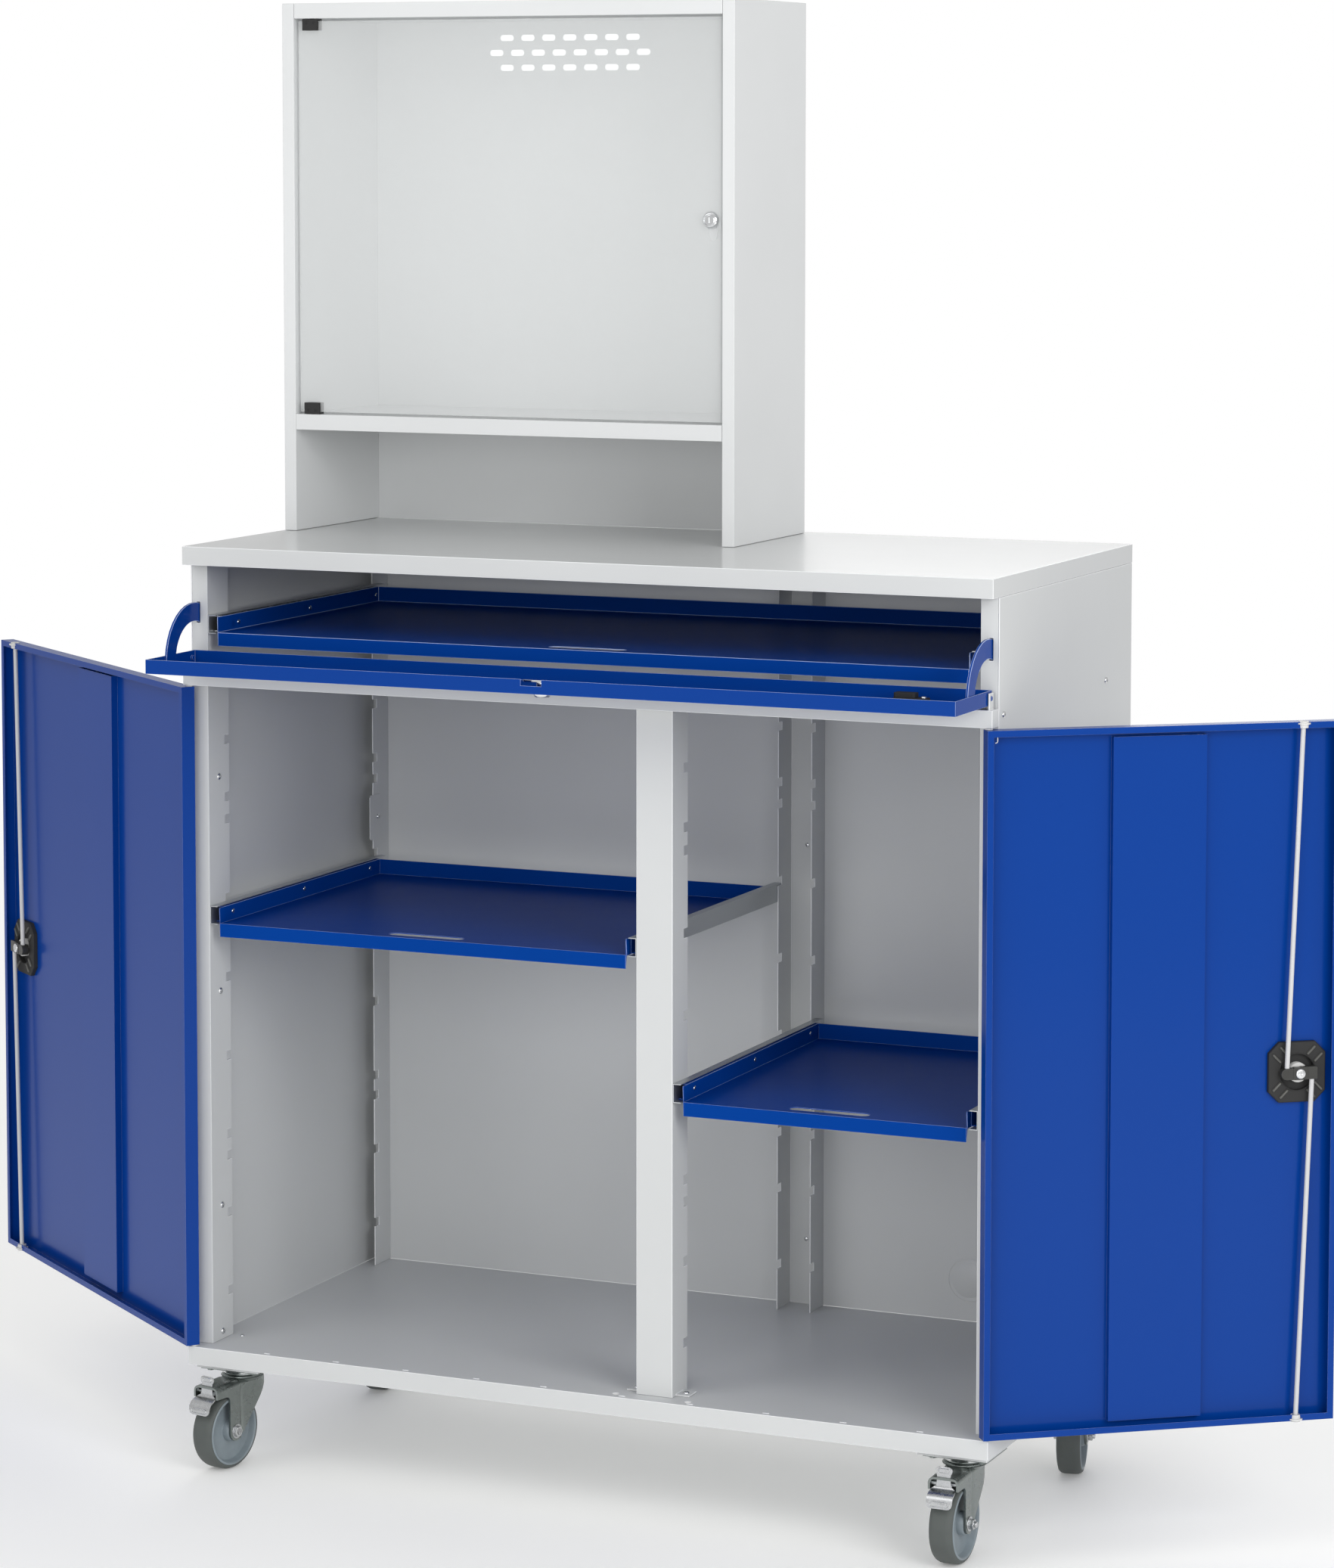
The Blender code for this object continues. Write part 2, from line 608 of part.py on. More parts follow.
def build_divider():
    """Front and rear posts of the open divider."""
    back = POST_SETBACK + DIVIDER_DEPTH
    profile = [(DIVIDER_LEFT, back), (DIVIDER_LEFT, POST_SETBACK), (DIVIDER_RIGHT, POST_SETBACK),
               (DIVIDER_RIGHT, back)]
    front = part("divider_front_post", folded_sheet(profile, POST_FOOT, RAIL_TOP, "Z", "-x"), GREY, ROOT)
    thicken(front, SHEET)
    tab_front = POST_SETBACK + (DIVIDER_DEPTH - FOOT_TAB_DEPTH) / 2
    tabs = (("left", DIVIDER_LEFT - FOOT_TAB_WIDTH, DIVIDER_LEFT + FUSE),
            ("right", DIVIDER_RIGHT - FUSE, DIVIDER_RIGHT + FOOT_TAB_WIDTH))
    for name, x_low, x_high in tabs:
        low = (x_low, tab_front, POST_FOOT)
        high = (x_high, tab_front + FOOT_TAB_DEPTH, POST_FOOT + FOOT_TAB_THICKNESS)
        combine(front, "UNION", tool("foot_tab_" + name, box(low, high), ROOT))
    profile = [(DIVIDER_LEFT, UPRIGHT_FRONT), (DIVIDER_LEFT, BACK_FACE), (DIVIDER_RIGHT, BACK_FACE),
               (DIVIDER_RIGHT, UPRIGHT_FRONT)]
    rear = part("divider_rear_post", folded_sheet(profile, POST_FOOT, PANEL_HEAD, "Z", "-x"), GREY, ROOT)
    thicken(rear, SHEET)
    for name, x in (("left", DIVIDER_LEFT), ("right", DIVIDER_RIGHT)):
        wall = (x - 2 * SHEET, x + 2 * SHEET)
        notches = notch_cutters("divider_notches_" + name, *wall,
                                UPRIGHT_FRONT - SHEET, UPRIGHT_FRONT + NOTCH_DEPTH, RAIL_BOTTOM)
        combine(rear, "DIFFERENCE", notches)
        notches = notch_cutters("divider_front_notches_" + name, *wall,
                                back - NOTCH_DEPTH, back + SHEET, RAIL_BOTTOM)
        combine(front, "DIFFERENCE", notches)


def build_rail():
    """Front rail between doors and flap, with the ears that hold the flap's pins."""
    low = (-HALF + SEAT, 0, RAIL_BOTTOM)
    high = (HALF - SEAT, POST_SETBACK - SEAT, RAIL_TOP)
    rail = thicken(part("front_rail", shell_box(low, high, ["+y"]), GREY, ROOT), SHEET)
    for name, side in (("left", -1), ("right", 1)):
        xs = sorted((side * (FLAP_HALF + EAR_GAP), side * (FLAP_HALF + EAR_GAP + EAR_SHEET)))
        ear = box((xs[0], EAR_FRONT, RAIL_TOP - FUSE), (xs[1], EAR_BACK, FLAP_PIVOT_Z + EAR_RISE))
        combine(rail, "UNION", tool("flap_ear_" + name, ear, ROOT))
        start = (xs[0] - EAR_SHEET / 4, FLAP_PIVOT_Y, FLAP_PIVOT_Z)
        hole = rod(start, "X", 1.5 * EAR_SHEET, FLAP_PIN_RADIUS + PIN_CLEARANCE, 16)
        combine(rail, "DIFFERENCE", tool("flap_ear_hole_" + name, hole, ROOT))
    cut_door_holes(rail, RAIL_BOTTOM)


def build_housing():
    """Screen housing: two sides, top, shelf and vented back."""
    walls = (("housing_left_side", HOUSING_LEFT), ("housing_right_side", BAY_RIGHT))
    for name, x in walls:
        low = (x, HOUSING_SETBACK, HOUSING_FOOT)
        high = (x + HOUSING_WALL, HOUSING_BACK, HOUSING_TOP)
        side = thicken(part(name, shell_box(low, high, ["+y"]), GREY, ROOT), HOUSING_SHEET)
        if x == BAY_RIGHT:
            combine(side, "DIFFERENCE", pane_catch_slot())
    x_low = BAY_LEFT + SEAT
    x_high = BAY_RIGHT - SEAT
    back = HOUSING_BACK - SHEET - SEAT
    levels = (("housing_top", CEILING, HOUSING_TOP), ("housing_shelf", SHELF_BOTTOM, SHELF_TOP))
    for name, z_low, z_high in levels:
        skin = shell_box((x_low, HOUSING_SETBACK, z_low), (x_high, back, z_high), ["+y"])
        board = thicken(part(name, skin, GREY, ROOT), HOUSING_SHEET)
        skin_z = CEILING if name == "housing_top" else SHELF_TOP - HOUSING_SHEET
        start = (PANE_AXIS_X, PANE_AXIS_Y, skin_z - HOUSING_SHEET)
        hole = rod(start, "Z", 3 * HOUSING_SHEET, CLIP_PIN_RADIUS + PIN_CLEARANCE, 16)
        combine(board, "DIFFERENCE", tool(name + "_pin_hole", hole, ROOT))
    low = (x_low, HOUSING_BACK - SHEET, HOUSING_FOOT)
    panel = part("housing_back", box(low, (x_high, HOUSING_BACK, HOUSING_TOP)), GREY, ROOT)
    vents = bmesh.new()
    middle = (BAY_LEFT + BAY_RIGHT) / 2 + VENT_X
    for row, count in enumerate(VENT_ROWS):
        for i in range(count):
            x = middle + (i - (count - 1) / 2) * VENT_PITCH
            z = CEILING - VENT_DROP - row * VENT_ROW_PITCH
            add_slot(vents, (x, HOUSING_BACK - SHEET / 2, z), VENT_LENGTH, VENT_HEIGHT, 3 * SHEET, "Y")
    combine(panel, "DIFFERENCE", tool("vent_slots", vents, ROOT))


def arm_sweep(distance):
    """Return how far to one side a cam lock's arm enters a wall at a distance from its axis."""
    corner = math.hypot(CAM_LOCK_ARM, CAM_LOCK_ARM_WIDTH / 2)
    return math.sqrt(corner ** 2 - distance ** 2) + CAM_LOCK_ARM_THICKNESS


def pane_catch_slot():
    """Slot in the housing's right side that takes the pane lock's arm."""
    level = (PANE_BOTTOM + PANE_TOP) / 2
    near = PANE_AXIS_Y + PANE_LOCK_DEPTH
    above = CAM_LOCK_ARM_WIDTH / 2 + CAM_LOCK_ARM_THICKNESS
    below = arm_sweep(PANE_LOCK_EDGE + PANE_SIDE_GAP)
    low = (BAY_RIGHT - HOUSING_SHEET, near - CAM_LOCK_ARM_THICKNESS, level - below)
    high = (BAY_RIGHT + 2 * HOUSING_SHEET, near + 2 * CAM_LOCK_ARM_THICKNESS, level + above)
    return tool("pane_catch_slot", box(low, high), ROOT)


def cam_lock(name, parent, location, rotation, face, seat):
    """Cam lock along local Y: a head in front of a face, a barrel and an arm behind a seat."""
    head = rod((0, face - CAM_LOCK_HEAD, 0), "Y", CAM_LOCK_HEAD, CAM_LOCK_HEAD_RADIUS)
    lock = part(name, head, ZINC, parent, location, rotation)
    length = seat + CAM_LOCK_ARM_THICKNESS - face + 2 * FUSE
    barrel = rod((0, face - FUSE, 0), "Y", length, CAM_LOCK_RADIUS)
    combine(lock, "UNION", tool(name + "_barrel", barrel, parent, location, rotation))
    half = CAM_LOCK_ARM_WIDTH / 2
    arm = box((-half, seat, -CAM_LOCK_ARM), (half, seat + CAM_LOCK_ARM_THICKNESS, half))
    combine(lock, "UNION", tool(name + "_arm", arm, parent, location, rotation))
    return smooth(lock)


def build_pane():
    """Clear pane door of the housing, its two hinge clips and its cam lock."""
    axis = frame_empty("pane_axis", ROOT, (PANE_AXIS_X, PANE_AXIS_Y, 0))
    half = PANE_THICKNESS / 2
    low = (PANE_LEFT - PANE_AXIS_X, -half, PANE_BOTTOM)
    high = (PANE_RIGHT - PANE_AXIS_X, half, PANE_TOP)
    pane = part("pane", box(low, high), CLEAR, axis)
    level = (PANE_BOTTOM + PANE_TOP) / 2
    lock_x = high[0] - PANE_LOCK_EDGE
    bore = rod((lock_x, -PANE_THICKNESS, level), "Y", 2 * PANE_THICKNESS, CAM_LOCK_RADIUS + SEAT)
    combine(pane, "DIFFERENCE", tool("pane_lock_bore", bore, axis))
    clips = (("pane_hinge_upper", PANE_TOP, 1), ("pane_hinge_lower", PANE_BOTTOM, -1))
    for name, edge, up in clips:
        outer = edge + up * (SEAT + CLIP_WEB)
        zs = sorted((outer, outer - up * CLIP_HEIGHT))
        jaw = half + SEAT + CLIP_JAW
        clip = part(name, box((-CLIP_LENGTH / 2, -jaw, zs[0]), (CLIP_LENGTH / 2, jaw, zs[1])), BLACK, axis)
        zs = sorted((edge + up * SEAT, edge - up * 2 * CLIP_HEIGHT))
        groove = box((-CLIP_LENGTH, -half - SEAT, zs[0]), (CLIP_LENGTH, half + SEAT, zs[1]))
        combine(clip, "DIFFERENCE", tool(name + "_groove", groove, axis))
        reach = PANE_GAP - SEAT - CLIP_WEB + CLIP_PIN_REACH
        start = (0, 0, outer - FUSE) if up > 0 else (0, 0, outer - reach)
        pin = rod(start, "Z", reach + FUSE, CLIP_PIN_RADIUS, 16)
        combine(clip, "UNION", tool(name + "_pin", pin, axis))
    lock_axis = frame_empty("pane_lock_axis", axis, (lock_x, 0, level))
    cam_lock("pane_lock", lock_axis, (0, 0, 0), (0, 0, 0), -half - SEAT, PANE_LOCK_DEPTH)


def slide_rail(name, face, inward, level):
    """Cabinet rail of a slide: a channel on an upright's face, open towards the compartment."""
    web = face + inward * SEAT
    tip = face + inward * (SLIDE_SPACE - 2 * SEAT - SLIDE_SHEET - SLIDE_CLEARANCE)
    half = SLIDE_HEIGHT / 2
    profile = [(tip, level + half), (web, level + half), (web, level - half), (tip, level - half)]
    skin = folded_sheet(profile, PULLOUT_FRONT, UPRIGHT_FRONT + SLIDE_LAP, "Y", "+z")
    rail = part(name, skin, ZINC, ROOT)
    return thicken(rail, SLIDE_SHEET)


def runner_skin(face, inward, level, web):
    """Runner of a slide, nested in its cabinet rail, with its web at a given plane."""
    tip = face + inward * (SEAT + SLIDE_SHEET + SLIDE_CLEARANCE)
    half = SLIDE_HEIGHT / 2 - SLIDE_SHEET - SLIDE_CLEARANCE
    profile = [(tip, level + half), (web, level + half), (web, level - half), (tip, level - half)]
    return folded_sheet(profile, PULLOUT_FRONT + SLIDE_SPACE, PULLOUT_FRONT + PULLOUT_DEPTH, "Y", "+z")


def pullout(name, left_face, right_face, floor):
    """Blue pull-out sheet: floor, upturned sides and back, front lip folded down, finger slot."""
    x_low = left_face + SLIDE_SPACE + PULLOUT_SHEET
    x_high = right_face - SLIDE_SPACE - PULLOUT_SHEET
    y_high = PULLOUT_FRONT + PULLOUT_DEPTH - PULLOUT_SHEET
    middle = Vector(((x_low + x_high) / 2, (PULLOUT_FRONT + y_high) / 2, floor))
    size = Matrix.Diagonal((x_high - x_low, y_high - PULLOUT_FRONT, 1.0, 1.0))
    bm = bmesh.new()
    bmesh.ops.create_grid(bm, x_segments=1, y_segments=1, size=0.5, matrix=Matrix.Translation(middle) @ size)
    front = [e for e in bm.edges if max(v.co.y for v in e.verts) < middle.y]
    raised = [e for e in bm.edges if e not in front]
    for edges, shift in ((raised, PULLOUT_FLANGE), (front, -PULLOUT_LIP)):
        made = bmesh.ops.extrude_edge_only(bm, edges=edges)["geom"]
        verts = [item for item in made if isinstance(item, bmesh.types.BMVert)]
        bmesh.ops.translate(bm, verts=verts, vec=(0, 0, shift))
    bmesh.ops.recalc_face_normals(bm, faces=bm.faces[:])
    bm.faces.ensure_lookup_table()
    if next(f for f in bm.faces if abs(f.normal.z) > 0.9).normal.z < 0:
        bmesh.ops.reverse_faces(bm, faces=bm.faces[:])
    axis = frame_empty(name + "_slide", ROOT)
    sheet = thicken(part(name, bm, BLUE, axis), PULLOUT_SHEET)
    slot = bmesh.new()
    centre = (middle.x, PULLOUT_FRONT + FINGER_SETBACK, floor)
    add_slot(slot, centre, FINGER_LENGTH, FINGER_WIDTH, 4 * PULLOUT_SHEET, "Z")
    combine(sheet, "DIFFERENCE", tool(name + "_finger_slot", slot, axis))
    return sheet, axis


def build_pullouts():
    """Keyboard tray with separate runners, and two shelves with riveted runners."""
    left, right = -POST_INNER, POST_INNER
    pieces = (
        ("keyboard_tray", left, right, TRAY_FLOOR),
        ("left_shelf", left, DIVIDER_LEFT, LEFT_SHELF_FLOOR),
        ("right_shelf", DIVIDER_RIGHT, right, RIGHT_SHELF_FLOOR),
    )
    for name, left_face, right_face, floor in pieces:
        sheet, axis = pullout(name, left_face, right_face, floor)
        level = floor + PULLOUT_FLANGE / 2
        for side, face, inward in (("left", left_face, 1), ("right", right_face, -1)):
            slide_rail(f"{name}_{side}_rail", face, inward, level)
            side_plane = face + inward * SLIDE_SPACE
            if name == "keyboard_tray":
                skin = runner_skin(face, inward, level, side_plane - inward * SEAT)
                thicken(part(f"{name}_{side}_runner", skin, ZINC, axis), SLIDE_SHEET)
            else:
                skin = runner_skin(face, inward, level, side_plane + inward * FUSE)
                runner = tool(f"{name}_{side}_runner", skin, axis)
                combine(sheet, "UNION", thicken(runner, SLIDE_SHEET))


def build_flap():
    """Flap dish with hinge pins, its two stays and its cam lock."""
    axis = frame_empty("flap_axis", ROOT, (0, FLAP_PIVOT_Y, FLAP_PIVOT_Z), (math.radians(FLAP_OPEN), 0, 0))
    front = -FLAP_PIVOT_Y
    bottom = FLAP_BOTTOM - FLAP_PIVOT_Z
    top = FLAP_TOP - FLAP_PIVOT_Z
    low = (-FLAP_HALF, front, bottom)
    high = (FLAP_HALF, front + FLAP_THICKNESS, top)
    flap = thicken(part("flap", shell_box(low, high, ["+y"]), BLUE, axis), FLAP_SHEET)
    reach = EAR_GAP + EAR_SHEET + FUSE
    root = 3 * FLAP_SHEET
    for name, x in (("left", -FLAP_HALF - reach), ("right", FLAP_HALF - root)):
        pin = rod((x, 0, 0), "X", reach + root, FLAP_PIN_RADIUS, 16)
        combine(flap, "UNION", tool("flap_pin_" + name, pin, axis))
    lock_z = top - FLAP_LOCK_EDGE
    bore = rod((0, front - FLAP_SHEET, lock_z), "Y", 3 * FLAP_SHEET, CAM_LOCK_RADIUS + SEAT)
    combine(flap, "DIFFERENCE", tool("flap_lock_bore", bore, axis))
    half = CAM_LOCK_ARM_WIDTH / 2 + CAM_LOCK_ARM_THICKNESS
    arm_y = front + FLAP_LOCK_DEPTH - CAM_LOCK_ARM_THICKNESS
    sweep = arm_sweep(FLAP_LOCK_EDGE - FLAP_SHEET)
    window = box((-sweep, arm_y, top - 2 * FLAP_SHEET), (half, front + 2 * FLAP_THICKNESS, top + FLAP_SHEET))
    combine(flap, "DIFFERENCE", tool("flap_lock_window", window, axis))
    foot = FLAP_PIVOT_Y - FLAP_SHEET - SEAT
    outer_start = 90 + math.degrees(math.asin(foot / STAY_OUTER_RADIUS))
    inner_start = 90 + math.degrees(math.asin(foot / STAY_INNER_RADIUS))
    outline = arc(STAY_OUTER_RADIUS, outer_start, -STAY_TAIL, STAY_STEPS)
    outline += arc(STAY_INNER_RADIUS, -STAY_TAIL, inner_start, STAY_STEPS)
    upright = (math.pi / 2, 0, math.pi / 2)
    for name, side in (("left", -1), ("right", 1)):
        plate = outline_plate(outline, STAY_THICKNESS)
        part(f"flap_{name}_stay", plate, BLUE, axis, (side * STAY_X, 0, 0), upright)
    lock_axis = frame_empty("flap_lock_axis", axis, (0, 0, lock_z), (0, math.pi / 2, 0))
    cam_lock("flap_lock", lock_axis, (0, 0, 0), (0, 0, 0), front - SEAT, front + FLAP_LOCK_DEPTH)


def build_door(name, side, width, opening):
    """One door with its stiffener, hinge pins, lock box, handle and two lock rods.

    side is 1 where the door runs to +X from its axis when closed, and -1 where it runs to -X.
    """
    axis = frame_empty(name + "_axis", ROOT, (-side * DOOR_AXIS_X, DOOR_PIVOT, 0),
                       (0, 0, -side * math.radians(opening)))
    inside = DOOR_FACE + DOOR_THICKNESS
    far = width - DOOR_PIVOT
    xs = sorted((-side * DOOR_PIVOT, side * far))
    low, high = (xs[0], DOOR_FACE, DOOR_BOTTOM), (xs[1], inside, DOOR_TOP)
    door = thicken(part(name, shell_box(low, high, ["+y"], DOOR_RIM), BLUE, axis), DOOR_SHEET)
    middle = side * (width * STIFFENER_SHARE - DOOR_PIVOT)
    hat_low, hat_high = middle - STIFFENER_WIDTH / 2, middle + STIFFENER_WIDTH / 2
    crest = DOOR_INSIDE + STIFFENER_DEPTH
    root = DOOR_INSIDE - FUSE
    profile = [(hat_low, root), (hat_low, crest), (hat_high, crest), (hat_high, root)]
    hat = folded_sheet(profile, DOOR_BOTTOM + STIFFENER_END, DOOR_TOP - STIFFENER_END, "Z", "-x")
    combine(door, "UNION", thicken(tool(name + "_stiffener", hat, axis), DOOR_SHEET))
    pins = bmesh.new()
    pin_length = 2 * DOOR_SHEET + DOOR_GAP + SHEET + HINGE_PIN_REACH
    add_rod(pins, (0, 0, DOOR_TOP - 2 * DOOR_SHEET), "Z", pin_length, HINGE_PIN_RADIUS, 16)
    add_rod(pins, (0, 0, DOOR_BOTTOM + 2 * DOOR_SHEET - pin_length), "Z", pin_length, HINGE_PIN_RADIUS, 16)
    combine(door, "UNION", tool(name + "_pins", pins, axis))
    lock_u = far - LOCK_EDGE
    lock_x = side * lock_u
    bores = bmesh.new()
    start = (lock_x, DOOR_FACE - DOOR_SHEET, LOCK_LEVEL)
    add_rod(bores, start, "Y", 3 * DOOR_SHEET, LOCK_SPINDLE_RADIUS + SEAT)
    hole = ROD_RADIUS + ROD_HOLE_CLEARANCE
    for level in (DOOR_BOTTOM, DOOR_TOP):
        add_rod(bores, (lock_x, ROD_V, level - 2 * DOOR_RIM), "Z", 4 * DOOR_RIM, hole, 16)
    combine(door, "DIFFERENCE", tool(name + "_bores", bores, axis))
    build_lock(name, axis, side, lock_x)


def build_lock(name, axis, side, lock_x):
    """Lock box, turning handle with its cam, and the two lock rods of one door."""
    turn = AXIS_TURN["Y"] @ Matrix.Rotation(math.pi / 8, 4, "Z")
    bm = bmesh.new()
    bmesh.ops.create_cone(bm, cap_ends=True, segments=8, radius1=LOCK_BOX_RADIUS, radius2=LOCK_BOX_RADIUS,
                          depth=LOCK_BOX_THICKNESS, matrix=turn)
    place_at = (lock_x, DOOR_INSIDE + SEAT + LOCK_BOX_THICKNESS / 2, LOCK_LEVEL)
    lock_box = part(name + "_lock_box", bm, BLACK, axis, place_at)
    start = (0, -LOCK_BOX_THICKNESS, 0)
    bore = rod(start, "Y", 2 * LOCK_BOX_THICKNESS, LOCK_SPINDLE_RADIUS + SEAT)
    combine(lock_box, "DIFFERENCE", tool(name + "_lock_box_bore", bore, axis, place_at))

    lock_axis = frame_empty(name + "_lock_axis", axis, (lock_x, 0, LOCK_LEVEL))
    rose_back = DOOR_FACE - SEAT
    rose_front = rose_back - HANDLE_ROSE_THICKNESS
    spindle = rod((0, rose_front, 0), "Y", CAM_FACE - rose_front, LOCK_SPINDLE_RADIUS)
    handle = part(name + "_handle", spindle, BLACK, lock_axis)
    rose = rod((0, rose_front - FUSE, 0), "Y", HANDLE_ROSE_THICKNESS + FUSE, HANDLE_ROSE_RADIUS, 24)
    combine(handle, "UNION", tool(name + "_rose", rose, lock_axis))
    grip_x, grip_z = HANDLE_GRIP_LENGTH / 2, HANDLE_GRIP_WIDTH / 2
    grip = box((-grip_x, rose_front - HANDLE_GRIP_HEIGHT, -grip_z), (grip_x, rose_front + FUSE, grip_z))
    combine(handle, "UNION", tool(name + "_grip", grip, lock_axis))
    cam_x, cam_z = CAM_REACH + CAM_WIDTH / 2, CAM_WIDTH / 2
    cam_back = CAM_FACE - CAM_THICKNESS
    cam = box((-cam_x, cam_back, -cam_z), (cam_x, CAM_FACE - FUSE, cam_z))
    combine(handle, "UNION", tool(name + "_cam", cam, lock_axis))
    disc = rod((0, cam_back + FUSE, 0), "Y", CAM_THICKNESS, CAM_DISC_RADIUS, 24)
    combine(handle, "UNION", tool(name + "_cam_disc", disc, lock_axis))
    smooth(handle)

    ends = (
        ("upper", -side * CAM_REACH, LOCK_LEVEL - ROD_OVERLAP, DOOR_TOP - ROD_END_INSET),
        ("lower", side * CAM_REACH, LOCK_LEVEL + ROD_OVERLAP, DOOR_BOTTOM + ROD_END_INSET),
    )
    for word, shift, inner_z, outer_z in ends:
        inner = Vector((lock_x + shift, ROD_V, inner_z))
        outer = Vector((lock_x, ROD_V, outer_z))
        run = outer - inner
        bm = rod((0, 0, -run.length / 2), "Z", run.length, ROD_RADIUS, 12)
        turned = run.to_track_quat("Z", "Y").to_euler()
        smooth(part(f"{name}_{word}_rod", bm, WHITE_ROD, axis, (inner + outer) / 2, turned))


def wheel_profile():
    """Closed section of a wheel: bore, hub, recessed disc, rim and tyre."""
    half = WHEEL_WIDTH / 2
    disc = half - RIM_RECESS
    tread = WHEEL_RADIUS / math.cos(math.pi / WHEEL_STEPS)
    bore = AXLE_RADIUS + SEAT
    upper = [(bore, half), (HUB_RADIUS, half), (HUB_RADIUS, disc), (RIM_RADIUS - FORK_SHEET, disc),
             (RIM_RADIUS, half), (tread - TYRE_SHOULDER / 2, half), (tread, half - TYRE_SHOULDER)]
    return upper + [(r, -z) for r, z in reversed(upper)]


def build_wheel(name, parent):
    """Wheel turned about local X, standing on a flat of its tread."""
    bm = bmesh.new()
    verts = [bm.verts.new((r, 0, z)) for r, z in wheel_profile()]
    for pair in zip(verts, verts[1:] + verts[:1]):
        bm.edges.new(pair)
    wheel = part(name, bm, WHEEL_GREY, parent, (0, 0, 0), (0, math.pi / 2, 0))
    turned = wheel.modifiers.new("turned", "SCREW")
    turned.axis = "Z"
    turned.steps = WHEEL_STEPS
    turned.render_steps = WHEEL_STEPS
    turned.use_merge_vertices = True
    turned.merge_threshold = 0.00001
    turned.use_normal_calculate = True
    turned.use_smooth_shade = True


def fork_outline(braked):
    """Outline of a fork leg, forward and up, with a round boss at the axle and a nose where braked."""
    top = CROWN_TOP - FORK_LEG_TOP
    shoulder = CROWN_BOTTOM - FORK_SHOULDER
    boss = arc(AXLE_BOSS_RADIUS, 180, 360, 8, (-CASTER_TRAIL, WHEEL_RADIUS))
    crest = [(FORK_BACK, top), (-FORK_FRONT + FORK_LEG_TOP, top), (-FORK_FRONT, shoulder)]
    if braked:
        nose_foot = top - FORK_NOSE_DEPTH
        crest = [(FORK_BACK, top), (-FORK_NOSE, top), (-FORK_NOSE, nose_foot), (-FORK_FRONT, nose_foot)]
    return crest + boss + [(FORK_BACK, shoulder)]


def build_caster(name, x, y, swivel, braked):
    """One caster: top plate, swivelling fork with axle, wheel, and a brake pedal where braked."""
    half_x, half_y = PLATE_WIDTH / 2, PLATE_DEPTH / 2
    plate = part(name + "_plate", box((-half_x, -half_y, PLATE_BOTTOM), (half_x, half_y, PLATE_TOP)), ZINC,
                 ROOT, (x, y, 0))
    race = rod((0, 0, RACE_BOTTOM), "Z", RACE_HEIGHT + FUSE, RACE_RADIUS, 24)
    combine(plate, "UNION", tool(name + "_race", race, ROOT, (x, y, 0)))
    pin_foot = CROWN_BOTTOM - FUSE
    king_pin = rod((0, 0, pin_foot), "Z", RACE_BOTTOM - pin_foot + FUSE, KING_PIN_RADIUS, 16)
    combine(plate, "UNION", tool(name + "_king_pin", king_pin, ROOT, (x, y, 0)))

    axis = frame_empty(name + "_swivel_axis", ROOT, (x, y, 0), (0, 0, math.radians(swivel)))
    crown = rod((0, 0, CROWN_BOTTOM), "Z", CROWN_THICKNESS, CROWN_RADIUS, 24)
    fork = part(name + "_fork", crown, ZINC, axis)
    leg_x = WHEEL_WIDTH / 2 + FORK_SIDE_GAP + FORK_SHEET / 2
    stand = (math.pi / 2, 0, math.pi / 2)
    for word, shift in (("left", -leg_x), ("right", leg_x)):
        leg = outline_plate(fork_outline(braked), FORK_SHEET)
        combine(fork, "UNION", tool(f"{name}_{word}_leg", leg, axis, (shift, 0, 0), stand))
    axle_half = leg_x + FORK_SHEET
    if braked:
        top = CROWN_TOP - FORK_LEG_TOP
        nose = box((-leg_x, -FORK_NOSE_PLATE_END, top - FORK_SHEET - FUSE), (leg_x, 0, top - FUSE))
        combine(fork, "UNION", tool(name + "_nose", nose, axis))
    axle = rod((-axle_half, -CASTER_TRAIL, WHEEL_RADIUS), "X", 2 * axle_half, AXLE_RADIUS, 16)
    combine(fork, "UNION", tool(name + "_axle", axle, axis))
    start = (0, 0, CROWN_BOTTOM - CROWN_THICKNESS)
    bore = rod(start, "Z", 3 * CROWN_THICKNESS, KING_PIN_RADIUS + PIN_CLEARANCE, 16)
    combine(fork, "DIFFERENCE", tool(name + "_crown_bore", bore, axis))

    wheel_axis = frame_empty(name + "_wheel_axis", axis, (0, -CASTER_TRAIL, WHEEL_RADIUS),
                             (math.pi / WHEEL_STEPS, 0, 0))
    build_wheel(name + "_wheel", wheel_axis)
    if braked:
        build_pedal(name, axis, fork, axle_half)


